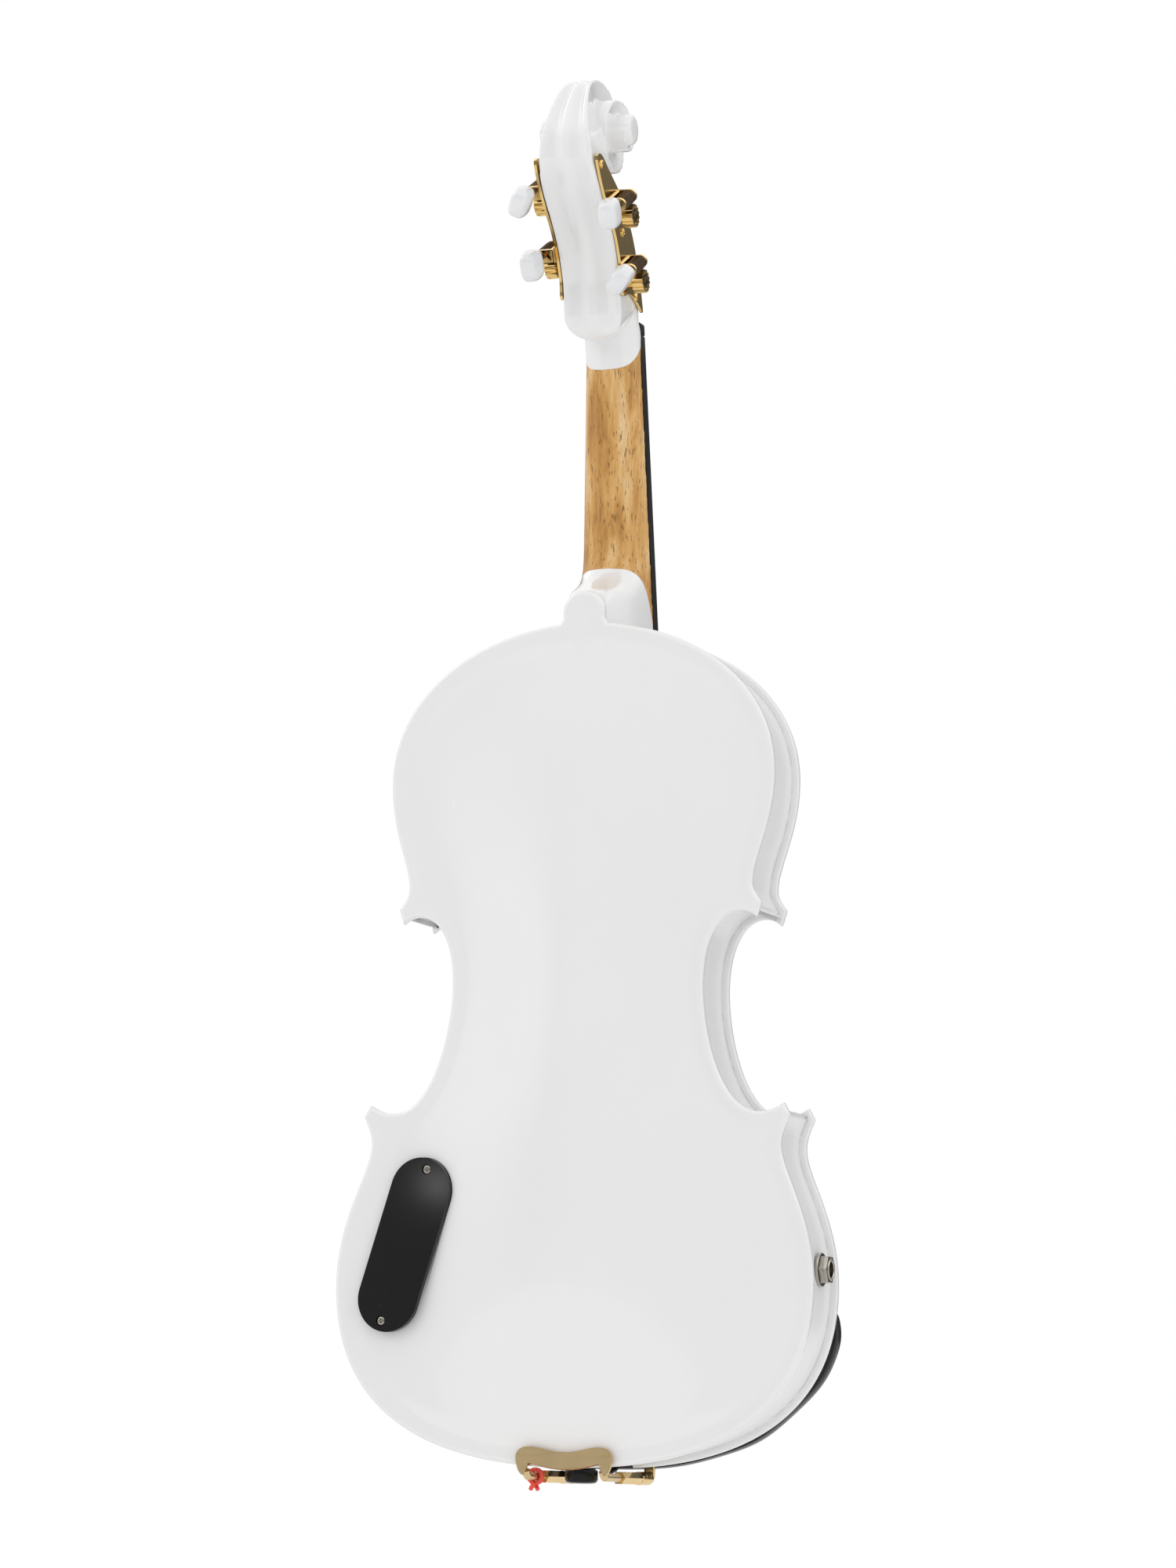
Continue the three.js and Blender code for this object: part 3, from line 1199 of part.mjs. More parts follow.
// Chin rest: a dished cup on two feet that reaches over the tailpiece, clamped to the lower edge
const chinReach = 100;
const chinOutlineShares = [[-0.99, 0.62], [-0.995, 0.52], [-0.94, 0.38], [-0.83, 0.245],
  [-0.66, 0.105], [-0.45, 0.035], [-0.24, -0.01], [0, -0.02], [0.22, 0], [0.33, 0.06], [0.37, 0.16],
  [0.33, 0.28], [0.2, 0.36], [0, 0.42], [-0.14, 0.52], [-0.26, 0.66], [-0.42, 0.76], [-0.62, 0.795],
  [-0.82, 0.755], [-0.95, 0.69]];
const chinCentreShares = [-0.48, 0.36];
const chinUnder = -38;
const chinRim = -46;
const chinDish = 5.4;
const chinSides = 27;
const chinLevels = [
  { share: 0.95, under: 0 }, { share: 1, under: 0.3 }, { share: 1, rim: 0.18 }, { share: 0.975, rim: 0 },
  { share: 0.93, rim: 0.02 }, { share: 0.75, dish: 0.55 }, { share: 0.4, dish: 1 },
];
const chinFoot = { inner: 20, outer: 30, bottom: 2.5, top: 15 };
const clamp = {
  x: 17, z: -3.6, rodRadius: 1.7, barrelRadius: 2.9, barrelTop: -22, barrelBottom: 1, collarRadius: 2.8,
  rodDepth: 8, footWidth: 42.6, footLobe: 8.6, footMiddle: 6.6, footThickness: 1.5, corkThickness: 1.3,
  corkInset: 0.8, strap: 4.6, strapThickness: 2, strapReach: 14, pinHole: 1,
};

const tie = { level: 9, radius: 0.95, tails: [[-0.2, 2.6], [1.1, 2.9]] };
const tieSteps = 7;

function buildChinRest() {
  const scaled = ([x, z]) => new THREE.Vector3(x * chinReach, 0, z * chinReach);
  const centre = scaled(chinCentreShares);
  const curve = new THREE.CatmullRomCurve3(chinOutlineShares.map(scaled), true, 'catmullrom', 0.5);
  const edge = curve.getSpacedPoints(chinSides).slice(0, -1);
  const rings = chinLevels.map(({ share, under, rim, dish }) => {
    const slab = chinRim - chinUnder;
    let y = chinRim;
    if (under !== undefined) y = chinUnder + under * slab;
    if (rim !== undefined) y = chinRim - rim * slab;
    if (dish !== undefined) y = chinRim + dish * chinDish;
    return edge.map((p) => new THREE.Vector3(
      THREE.MathUtils.lerp(centre.x, p.x, share), y, THREE.MathUtils.lerp(centre.z, p.z, share)));
  });
  const feet = [1, -1].map((side) => {
    const x = [side * chinFoot.inner, side * chinFoot.outer].sort((a, b) => a - b);
    return box([x[0], chinUnder - cutOverrun, chinFoot.bottom],
      [x[1], -edgeFace - seatGap, chinFoot.top]);
  });
  const arch = arched(10, 4, archMargin, archReachShare, () => 0, (x, z) => edgeFace + seatGap
    + archHeight(x, z, bellyRise, archMargin, archReachShare), -1);
  addPiece('chin_rest', carve(fuse(loft(rings), ...feet), arch), ebonyBlack, 0.3, 0);

  for (const side of [1, -1]) {
    const hand = side > 0 ? 'treble' : 'bass';
    const end = chinUnder + clamp.strapThickness;
    const profile = [[0, clamp.barrelTop + clamp.rodDepth],
      [clamp.rodRadius, clamp.barrelTop + clamp.rodDepth],
      [clamp.rodRadius, clamp.barrelTop - seatGap], [clamp.collarRadius, clamp.barrelTop - seatGap],
      [clamp.collarRadius, end], [clamp.collarRadius * 0.7, chinUnder + seatGap],
      [0, chinUnder + seatGap]];
    const post = moved(turned(profile, boreSides), side * clamp.x, 0, clamp.z);
    const strap = box([side * clamp.x - clamp.strap / 2, chinUnder + seatGap, clamp.z],
      [side * clamp.x + clamp.strap / 2, end + seatGap, clamp.z + clamp.strapReach]);
    addPiece(`chin_rest_post_${hand}`, fuse(post, strap), gold, 0.25, 1);

    const length = clamp.barrelBottom - clamp.barrelTop;
    const middle = (clamp.barrelBottom + clamp.barrelTop) / 2;
    const barrel = rod(clamp.barrelRadius, length, 6);
    const bore = rod(boreRadius(clamp.rodRadius), length + 2 * cutOverrun, boreSides);
    const pin = rod(clamp.pinHole, 4 * clamp.barrelRadius, 8).rotateX(Math.PI / 2);
    addPiece(`clamp_barrel_${hand}`, moved(carve(barrel, bore, pin), side * clamp.x, middle, clamp.z),
      gold, 0.2, 1);
  }

  const foot = new THREE.Shape();
  const reach = clamp.footWidth / 2;
  const low = seatGap;
  foot.moveTo(-reach * 0.86, low);
  foot.lineTo(reach * 0.86, low);
  foot.bezierCurveTo(reach, low, reach * 1.02, clamp.footLobe, reach * 0.78, clamp.footLobe);
  foot.bezierCurveTo(reach * 0.5, clamp.footLobe, reach * 0.4, clamp.footMiddle, 0, clamp.footMiddle);
  foot.bezierCurveTo(-reach * 0.4, clamp.footMiddle, -reach * 0.5, clamp.footLobe, -reach * 0.78,
    clamp.footLobe);
  foot.bezierCurveTo(-reach * 1.02, clamp.footLobe, -reach, low, -reach * 0.86, low);
  const corkTop = edgeFace + clamp.corkThickness;
  const plate = throughY(foot, corkTop, corkTop + clamp.footThickness, 6);
  const legs = [1, -1].map((side) => cord([
    [corkTop + clamp.footThickness / 2, clamp.rodRadius + low],
    [corkTop + clamp.footThickness / 2, clamp.z * 0.3],
    [corkTop - clamp.rodRadius, clamp.z * 0.85], [edgeFace - 2 * clamp.rodRadius, clamp.z],
    [clamp.barrelBottom - clamp.rodDepth, clamp.z],
  ].map(([y, z]) => new THREE.Vector3(side * clamp.x, y, z)), clamp.rodRadius, 4));
  const stubs = legs.map((leg) => carve(leg, box([-reach, -edgeFace, low],
    [reach, corkTop, clamp.footLobe])));
  addPiece('clamp_bracket', fuse(plate, ...stubs), gold, 0.22, 1);
  const pad = throughY(foot, edgeFace + seatGap, corkTop, 6).scale(0.94, 1, 0.9).translate(0, 0,
    clamp.corkInset);
  addPiece('clamp_cork', carve(pad, ...legs), cork, 0.9, 0);

  const knot = new THREE.Vector3(clamp.x, tie.level, clamp.z);
  const round = clamp.rodRadius + tie.radius + seatGap;
  const around = range(tieSteps + 1).map((i) => {
    const angle = -Math.PI / 2 + 2 * Math.PI * (i + 0.5) / (tieSteps + 1) - Math.PI / 3;
    const drift = tie.radius * 2.2 * (i / tieSteps - 0.5);
    return knot.clone().add(new THREE.Vector3(-round * Math.cos(angle), drift, round * Math.sin(angle)));
  });
  const tails = tie.tails.map(([x, z], i) => knot.clone()
    .add(new THREE.Vector3(x, tie.radius * 2.2 * (i - 0.5), -round - z)));
  addPiece('red_tie', cord([tails[0], ...around, tails[1]], tie.radius, 3), 0xe04a3a, 0.6, 0);
}

// Tuning machines: side plates with bearings, worms, wheels, posts and buttons, all in the head's frame
const plateShares = [[-0.085, 0.02], [-0.1, 0.08], [-0.113, 0.19], [-0.108, 0.33], [-0.08, 0.45],
  [-0.05, 0.53], [0.06, 0.625], [0.13, 0.645], [0.142, 0.6], [0.122, 0.53], [0.1, 0.47], [0.08, 0.37],
  [0.084, 0.23], [0.108, 0.155], [0.05, 0.14], [-0.01, 0.11], [-0.055, 0.06]];
const buttonShares = [[0, 0.42], [0.1, 0.74], [0.34, 1], [0.62, 0.97], [0.9, 0.72], [1, 0.5]];
const button = { start: 19, length: 14, width: 11.4, thickness: 8, sides: 8, stem: 1.3 };
const wormSides = 6;
const wormStepsPerPitch = 3;
const wheelShares = [0, 0.32, 0.68];

function buildTuners() {
  const earY = [wormStart - seatGap - earThickness, wormStart + wormLength + seatGap];
  const plates = { treble: [], bass: [] };
  const shaftBores = { treble: [], bass: [] };
  for (const { name, side, z, turn } of machines) {
    const axis = { x: side * wormX, z: z + wormRise };
    const hand = side > 0 ? 'treble' : 'bass';
    const base = [side * (plateInner + tunerPlate / 2),
      side * (plateOuter + carrier)].sort((a, b) => a - b);
    const lugReach = wormShaft + earWall;
    plates[hand].push(box([base[0], earY[0], axis.z - lugReach],
      [base[1], earY[1] + earThickness, axis.z + lugReach]));
    for (const start of earY) {
      const lug = earCornerShares.map(([x, rise]) => (
        [axis.x + side * x * lugReach, axis.z + rise * lugReach]
      ));
      lug.push([base[side > 0 ? 0 : 1], axis.z - lugReach], [base[side > 0 ? 0 : 1], axis.z + lugReach]);
      plates[hand].push(throughY(outlineShape(side > 0 ? lug.reverse() : lug), start,
        start + earThickness));
    }
    shaftBores[hand].push(rod(boreRadius(wormShaft), earY[1] - earY[0] + 4 * cutOverrun, boreSides)
      .translate(axis.x, (earY[0] + earY[1] + earThickness) / 2, axis.z));

    const steps = Math.round(wormLength / wormPitch * wormStepsPerPitch);
    const thread = range(steps + 1).map((i) => {
      const y = wormLength * i / steps;
      return range(wormSides).map((k) => {
        const angle = 2 * Math.PI * k / wormSides;
        const phase = angle + side * 2 * Math.PI * (wormStart + y - postY) / wormPitch;
        const crest = i === 0 || i === steps ? 0 : (1 + Math.cos(phase)) / 2;
        const radius = THREE.MathUtils.lerp(wormRoot, wormRadius, crest);
        return new THREE.Vector3(radius * Math.sin(angle), wormStart + y, radius * -Math.cos(angle));
      });
    });
    const shaftEnds = [earY[0] - seatGap, button.start + button.length * 0.35];
    const shaft = rod(wormShaft, shaftEnds[1] - shaftEnds[0], shaftSides).translate(0,
      (shaftEnds[0] + shaftEnds[1]) / 2, 0);
    addPiece(`tuner_worm_${name}`, moved(fuse(loft(thread), shaft), axis.x, 0, axis.z), darkSteel, 0.35,
      0.8, head);

    const rings = buttonShares.map(([along, wide]) => range(button.sides).map((k) => {
      const angle = 2 * Math.PI * k / button.sides;
      const x = wide * button.width / 2 * Math.cos(angle);
      const depth = wide * button.thickness / 2 * Math.sin(angle);
      return new THREE.Vector3(x, button.start + along * button.length, depth);
    }));
    const hole = rod(button.stem + seatGap, button.length, shaftSides)
      .translate(0, button.start + button.length * 0.35 + seatGap - button.length / 2, 0);
    const grip = carve(loft(rings), hole).rotateY(turn * Math.PI);
    addPiece(`tuner_button_${name}`, moved(grip, axis.x, 0, axis.z), pearl, 0.3, 0, head);

    const pitch = 2 * Math.PI / gearTeeth;
    const outline = range(gearTeeth).flatMap((k) => wheelShares.map((share, i) => {
      const radius = i === 1 || i === 2 ? gearRadius : gearRoot;
      const angle = Math.PI / 2 + (k + share) * pitch;
      return [postY + radius * Math.cos(angle), z + radius * Math.sin(angle)];
    }));
    const wheel = throughX(outlineShape(outline), wormX - gearWidth / 2, wormX + gearWidth / 2);
    const eye = rod(axleRadius + seatGap, 4 * gearWidth, 6).rotateZ(Math.PI / 2).translate(wormX, postY,
      z);
    const wheelBody = carve(wheel, eye);
    addPiece(`tuner_gear_${name}`, side > 0 ? wheelBody : mirroredX(wheelBody), gold, 0.25, 1, head);

    const axle = [[0, -postReach], [postRadius, -postReach],
      [postRadius, wormX - gearWidth / 2 - seatGap],
      [axleRadius, wormX - gearWidth / 2 - seatGap], [axleRadius, wormX + gearWidth / 2 - seatGap],
      [0, wormX + gearWidth / 2 - seatGap]];
    const post = turned(axle, boreSides).rotateZ(-side * Math.PI / 2).translate(0, postY, z);
    addPiece(`tuner_post_${name}`, post, gold, 0.3, 1, head);
  }
  const profile = outlineShape(plateShares.map(([y, z]) => [y * headLength, z * headLength]));
  for (const side of [1, -1]) {
    const hand = side > 0 ? 'treble' : 'bass';
    const x = [side * plateInner, side * plateOuter].sort((a, b) => a - b);
    const plate = throughX(profile, x[0], x[1]);
    const holes = machines.filter((entry) => entry.side === side).map(({ z }) => (
      rod(boreRadius(postRadius), 4 * cheekHalfWidth, boreSides).rotateZ(Math.PI / 2).translate(0,
        postY, z)));
    const body = carve(fuse(plate, ...plates[hand]), ...holes, ...shaftBores[hand]);
    addPiece(`tuner_plate_${hand}`, body, gold, 0.2, 1, head);
  }
}

// Electronics: circuit board with two potentiometers, their knobs, and the output jack
const board = { inner: 16, outer: 2, below: 4, above: 7, thickness: 1.6 };
const pot = { radius: 8, height: 8, below: 0.8 };

const jackStand = 1.2;
const jackThreadGap = 0.15;

function buildElectronics() {
  const boardFront = -halfRib + pot.height + pot.below;
  const [outerKnob, innerKnob] = knobs;
  const sheet = box([innerKnob.x - board.inner, boardFront, innerKnob.z - board.below],
    [outerKnob.x - board.outer, boardFront + board.thickness, outerKnob.z + board.above]);
  const pots = [];
  const bores = [];
  for (const { name, x, z } of knobs) {
    const face = -edgeFace - archHeight(x, z, bellyRise, archMargin, archReachShare);
    const bushEnd = face - knob.skirt;
    const bodyFront = boardFront - pot.height;
    pots.push(rod(pot.radius, pot.height + board.thickness / 2, 8)
      .translate(x, bodyFront + (pot.height + board.thickness / 2) / 2, z));
    pots.push(rod(knob.bushRadius, boardFront - bushEnd, boreSides).translate(x,
      (boardFront + bushEnd) / 2, z));
    const bore = { from: bushEnd - cutOverrun, to: bodyFront + pot.height / 2 };
    bores.push(rod(boreRadius(knob.shaftRadius), bore.to - bore.from, boreSides).translate(x,
      (bore.from + bore.to) / 2, z));
    const base = bushEnd - seatGap;
    const profile = [
      [0, bore.to - seatGap],
      [knob.shaftRadius, bore.to - seatGap],
      [knob.shaftRadius, base],
      [knob.radius, base],
      [knob.radius, base - knob.skirt],
      [knob.radius * 0.86, base - knob.height * 0.93],
      [knob.radius * 0.78, base - knob.height],
      [0, base - knob.height],
    ];
    addPiece(name, moved(turned(profile, 10), x, 0, z), ebonyBlack, 0.35, 0);
  }
  addPiece('preamp_board', carve(fuse(sheet, ...pots), ...bores), 0x1f4a33, 0.5, 0);

  const wall = -ribSurfaceX(jack.z);
  const tip = wall - jack.washer - jack.nut - jack.reach;
  const back = wall + ribThickness + liningReach + jack.stand;
  const sleeve = rod(jack.bushRadius, back - tip, 12).rotateZ(Math.PI / 2).translate((tip + back) / 2,
    0, jack.z);
  const body = box([back - seatGap, -jack.bodySize / 2, jack.z - jack.bodySize / 2],
    [back + jack.body, jack.bodySize / 2, jack.z + jack.bodySize / 2]);
  const plug = rod(jack.plugRadius, jack.depth + cutOverrun, 12).rotateZ(Math.PI / 2)
    .translate(tip + (jack.depth - cutOverrun) / 2, 0, jack.z);
  addPiece('jack_socket', carve(fuse(sleeve, body), plug), nickel, 0.3, 1);
  const washer = rod(jack.washerRadius, jack.washer, 12).rotateZ(Math.PI / 2)
    .translate(wall - jack.washer / 2 - jackStand, 0, jack.z);
  const nut = rod(jack.nutRadius, jack.nut, 6).rotateZ(Math.PI / 2)
    .translate(wall - jack.washer - jack.nut / 2 - jackStand, 0, jack.z);
  const eye = rod(jack.bushRadius + jackThreadGap, 4 * jack.nut,
    12).rotateZ(Math.PI / 2).translate(wall, 0, jack.z);
  addPiece('jack_nut', carve(fuse(washer, nut), eye), nickel, 0.3, 1);
}

const back = buildBack();
const belly = buildBelly();
buildRibs();
buildInnerWood(back, belly);
buildNeck();
buildBoard();
buildBridge(belly);
buildTail();
buildStrings();
buildChinRest();
buildBattery();
buildElectronics();
violin.add(head);
buildTuners();
violin.position.set(0, -hangerY, -hangerZ);

export default violin;
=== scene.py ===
import json
import math

import bmesh
import bpy
from mathutils import Matrix, Vector
from mathutils.geometry import delaunay_2d_cdt
from mathutils.kdtree import KDTree

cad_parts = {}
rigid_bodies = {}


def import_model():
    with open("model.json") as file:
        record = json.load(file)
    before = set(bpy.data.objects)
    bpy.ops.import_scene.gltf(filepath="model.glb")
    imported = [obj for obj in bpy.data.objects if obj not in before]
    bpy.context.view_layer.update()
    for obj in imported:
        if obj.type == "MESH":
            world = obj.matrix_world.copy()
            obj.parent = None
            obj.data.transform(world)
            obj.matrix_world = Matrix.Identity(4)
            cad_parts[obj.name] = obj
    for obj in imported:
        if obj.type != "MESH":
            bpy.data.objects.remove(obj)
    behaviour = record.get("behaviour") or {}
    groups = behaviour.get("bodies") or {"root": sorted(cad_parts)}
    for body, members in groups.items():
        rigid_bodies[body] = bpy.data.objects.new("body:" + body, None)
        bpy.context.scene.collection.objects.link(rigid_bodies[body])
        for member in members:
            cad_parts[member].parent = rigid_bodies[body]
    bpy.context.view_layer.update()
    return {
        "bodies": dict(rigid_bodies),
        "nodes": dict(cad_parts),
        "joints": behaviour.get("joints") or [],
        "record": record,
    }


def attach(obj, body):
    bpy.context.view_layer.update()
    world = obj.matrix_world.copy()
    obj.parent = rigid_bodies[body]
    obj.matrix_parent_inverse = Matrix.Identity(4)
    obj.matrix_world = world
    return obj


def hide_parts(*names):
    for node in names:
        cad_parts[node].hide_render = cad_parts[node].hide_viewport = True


# Studio: a white room with three soft lamps over a pale floor; polish mirrors light screens on a dark wall.
# The camera stands behind and a little below the violin, on its bass side, and looks up at it.
# Every piece is drawn in millimetres from the body's lower edge, and BODY puts it in the row frame.
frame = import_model()
nodes = frame["nodes"]
scene = bpy.context.scene
scene.view_settings.view_transform = "Standard"

HANGER = Vector((0.0, 0.036, 0.548))
BODY = Matrix.Translation(-HANGER) @ Matrix.Scale(0.001, 4)


class Sock:
    """A shader socket that takes part in sums, so that maths on it adds Math nodes."""

    def __init__(self, tree, socket):
        self.tree = tree
        self.socket = socket

    def math(self, operation, *others):
        node = self.tree.nodes.new("ShaderNodeMath")
        node.operation = operation
        for slot, value in zip(node.inputs, (self, *others)):
            connect(self.tree, slot, value)
        return Sock(self.tree, node.outputs[0])

    def __add__(self, other):
        return self.math("ADD", other)

    __radd__ = __add__

    def __sub__(self, other):
        return self.math("SUBTRACT", other)

    def __rsub__(self, other):
        return self * -1 + other

    def __mul__(self, other):
        return self.math("MULTIPLY", other)

    __rmul__ = __mul__


def connect(tree, slot, value):
    """Puts a socket's link, or a plain value, into an input."""
    if isinstance(value, Sock):
        tree.links.new(value.socket, slot)
    elif isinstance(value, (tuple, list)) and len(value) == 3 and slot.type == "RGBA":
        slot.default_value = (*value, 1.0)
    else:
        slot.default_value = value


class Finish:
    """A material with one Principled shader, and a method that adds any other node."""

    def __init__(self, name, colour, roughness, metallic=0.0, coat=0.0, **others):
        self.material = bpy.data.materials.new(name)
        self.material.use_nodes = True
        self.tree = self.material.node_tree
        self.shader = self.tree.nodes["Principled BSDF"]
        self.material.diffuse_color = (*colour, 1.0)
        settings = {"Base Color": colour, "Roughness": roughness, "Metallic": metallic, "Coat Weight": coat}
        for socket, value in {**settings, **others}.items():
            connect(self.tree, self.shader.inputs[socket], value)

    def node(self, kind, settings=None, output=0, **inputs):
        made = self.tree.nodes.new(kind)
        for key, value in (settings or {}).items():
            if key == "stops":
                ramp = made.color_ramp
                while len(ramp.elements) < len(value):
                    ramp.elements.new(0.5)
                for element, (position, colour) in zip(ramp.elements, value):
                    element.position = position
                    element.color = (*colour, 1.0)
            else:
                setattr(made, key, value)
        for key, value in inputs.items():
            slot = next(s for s in made.inputs if s.identifier == key or s.name.replace(" ", "_") == key)
            connect(self.tree, slot, value)
        return Sock(self.tree, made.outputs[output])

    def place(self, scale=(1, 1, 1), turn=(0, 0, 0), offset=(0, 0, 0)):
        """Object coordinates, stretched and turned."""
        spot = self.node("ShaderNodeTexCoord", output=3)
        return self.node("ShaderNodeMapping", Vector=spot, Scale=scale, Rotation=turn, Location=offset)

    def noise(self, scale, detail=3.0, roughness=0.5, vector=None, distortion=0.0):
        spot = vector if vector is not None else self.place()
        return self.node("ShaderNodeTexNoise", Vector=spot, Scale=scale, Detail=detail, Roughness=roughness,
                         Distortion=distortion)

    def ramp(self, value, *stops):
        return self.node("ShaderNodeValToRGB", {"stops": stops}, Fac=value)

    def mix(self, factor, first, second):
        return self.node("ShaderNodeMix", {"data_type": "RGBA"}, output=2, Factor_Float=factor, A_Color=first,
                         B_Color=second)

    def step(self, value, low, high):
        """0 below one level and 1 above the other, smooth between."""
        return self.node("ShaderNodeMapRange", {"interpolation_type": "SMOOTHSTEP"}, Value=value, From_Min=low,
                         From_Max=high, To_Min=0.0, To_Max=1.0)

    def axes(self):
        """The three object coordinates, in metres."""
        split = self.tree.nodes.new("ShaderNodeSeparateXYZ")
        connect(self.tree, split.inputs[0], self.node("ShaderNodeTexCoord", output=3))
        return [Sock(self.tree, output) for output in split.outputs]

    def set(self, **inputs):
        for key, value in inputs.items():
            connect(self.tree, self.shader.inputs[key.replace("_", " ")], value)

    def tint(self, value, first, second):
        """A colour that goes from one to the other with a 0 to 1 value."""
        self.set(Base_Color=self.mix(value, first, second))

    def gloss(self, value, low, high):
        """A roughness that goes between two levels with a 0 to 1 value."""
        self.set(Roughness=value * (high - low) + low)

    def bump(self, height, strength, distance):
        self.set(Normal=self.node("ShaderNodeBump", Height=height, Strength=strength, Distance=distance))


def dress(finish, *names):
    """Puts a finish on CAD nodes."""
    for name in names:
        slots = nodes[name].material_slots
        if not slots:
            nodes[name].data.materials.append(finish.material)
        for slot in slots:
            slot.material = finish.material


FLOOR_LEVEL = -0.70
FLOOR_SIZE = 4.0
floor_paint = Finish("floor_paint", (0.92, 0.92, 0.92), 0.8)
floor_paint.tint(floor_paint.noise(3.0, 2.0), (0.91, 0.91, 0.91), (0.93, 0.93, 0.93))
bpy.ops.object.select_all(action="DESELECT")
bpy.ops.mesh.primitive_plane_add(size=FLOOR_SIZE)
floor = bpy.context.object
floor.name = "floor"
floor.data.transform(Matrix.Translation((0, 0, FLOOR_LEVEL)))
floor.data.materials.append(floor_paint.material)

world = bpy.data.worlds.new("studio")
scene.world = world
world.use_nodes = True
room = world.node_tree
backdrop = room.nodes["Background"]
path = room.nodes.new("ShaderNodeLightPath")
seen = Sock(room, path.outputs["Is Camera Ray"])
mirrored = Sock(room, path.outputs["Is Glossy Ray"])
through = Sock(room, path.outputs["Is Transmission Ray"])
facing = room.nodes.new("ShaderNodeSeparateXYZ")
connect(room, facing.inputs[0], Sock(room, room.nodes.new("ShaderNodeTexCoord").outputs["Generated"]))
to_side, to_back, to_top = (Sock(room, output) for output in facing.outputs)


def screen(direction, low, high):
    """Share of a soft light screen between two bounds of a direction."""
    t = ((direction - low) * (1 / (high - low))).math("MAXIMUM", 0.0).math("MINIMUM", 1.0)
    return t * t * (t * -2 + 3)


ROOM_LEVEL = 0.93
DARK_WALL = 0.1
TOP_SCREEN = screen(to_top, 0.2, 0.7) * 1.2
SIDE_SCREENS = screen(to_side, 0.42, 0.75) * 0.85 + screen(to_side * -1, 0.5, 0.85) * 0.8
BACK_SCREEN = screen(to_back, 0.86, 0.97) * 0.25
shown = seen.math("MAXIMUM", through)
reflected = TOP_SCREEN + SIDE_SCREENS + BACK_SCREEN + (DARK_WALL - ROOM_LEVEL)
room_light = shown * (1.0 - ROOM_LEVEL) + mirrored * reflected + ROOM_LEVEL
connect(room, backdrop.inputs["Color"], (1.0, 1.0, 1.0))
connect(room, backdrop.inputs["Strength"], room_light)

LAMP_TARGET = Vector((0.0, 0.0, -0.25))
# name, place, width and height, power
LAMPS = [
    ("key", (1.5, 2.3, 1.1), (1.6, 1.8), 6.0),
    ("fill", (-2.2, 1.6, 0.3), (1.6, 2.0), 3.0),
    ("front", (0.4, -2.4, 1.0), (1.6, 1.8), 6.0),
]
for name, at, (wide, tall), power in LAMPS:
    data = bpy.data.lights.new(name, "AREA")
    data.shape = "RECTANGLE"
    data.size = wide
    data.size_y = tall
    data.energy = power
    lamp = bpy.data.objects.new(name, data)
    lamp.visible_glossy = False
    scene.collection.objects.link(lamp)
    aim = (LAMP_TARGET - Vector(at)).to_track_quat("-Z", "Y").to_matrix().to_4x4()
    lamp.matrix_world = Matrix.Translation(at) @ aim

CAMERA_AT = (-720.06, 1929.71, -8.45)
CAMERA_TURN = (200.55, -8.21, 1.17)
FOCAL_PIXELS = 6231.6
FRAME_HEIGHT = 2000
azimuth, elevation, roll = (math.radians(v) for v in CAMERA_TURN)
back = Vector((math.sin(azimuth) * math.cos(elevation), -math.cos(azimuth) * math.cos(elevation),
               math.sin(elevation)))
right = Vector((math.cos(azimuth), math.sin(azimuth), 0.0))
up = back.cross(right)
rolled_right = math.cos(roll) * right + math.sin(roll) * up
rolled_up = -math.sin(roll) * right + math.cos(roll) * up
camera_data = bpy.data.cameras.new("camera")
camera_data.sensor_fit = "VERTICAL"
camera_data.sensor_height = 24.0
camera_data.lens = camera_data.sensor_height * FOCAL_PIXELS / FRAME_HEIGHT
camera = bpy.data.objects.new("camera", camera_data)
scene.collection.objects.link(camera)
axes = Matrix((rolled_right, rolled_up, back)).transposed().to_4x4()
camera.matrix_world = Matrix.Translation(BODY @ Vector(CAMERA_AT)) @ axes
scene.camera = camera

# Back and belly: two carved plates of maple and spruce under thick white polyester lacquer.
# Each has a rounded edge with a shallow channel inside it, a full arch, and a hollow that leaves it 3 to 4 mm thick.
# The back ends in the round button over the heel and takes the battery cover; the belly has two sound holes.
BODY_LENGTH = 356.0
HALF_WIDTHS = {"lower": 106.0, "waist": 56.0, "upper": 86.0}
HALF_RIB = 15.0
PLATE_EDGE = 4.0
PLATE_THICKNESS = 3.4
EDGE_FACE = HALF_RIB + PLATE_EDGE
BUTTON_HALF = 9.3
BUTTON_HEIGHT = 13.5
POINT_SPACING = 1.4
GRID_SPACING = 2.8
EDGE_ROUND = {"outer": 1.7, "inner": 1.0}
EDGE_ROWS = (0.12, 0.45, 0.95, 1.7, 2.7, 4.1, 5.7, 7.5)
CHANNEL = {"depth": 0.4, "middle": 6.4, "reach": 3.2}
ARCH_RISES = {"back": 10.5, "belly": 11.5}
# margin at both ends and reach across, as a share, of an arch
ARCH_OUTER = (8, 0.9)
ARCH_INNER = (17, 0.83)
ARCH_LEVELS = (0.0, 0.02, 0.06, 0.12, 0.2135, 0.3, 0.376, 0.46, 0.5646, 0.63, 0.69, 0.75, 0.8118, 0.89, 0.95,
               0.985, 1.0)
ARCH_WIDTHS = (0.4, 0.5, 0.72, 0.9, 0.985, 0.94, 0.8, 0.605, 0.515, 0.54, 0.63, 0.73, 0.79, 0.745, 0.58, 0.36,
               0.3)


def bezier(a, b, c, d, t):
    s = 1 - t
    return a * s ** 3 + b * 3 * s * s * t + c * 3 * s * t * t + d * t ** 3


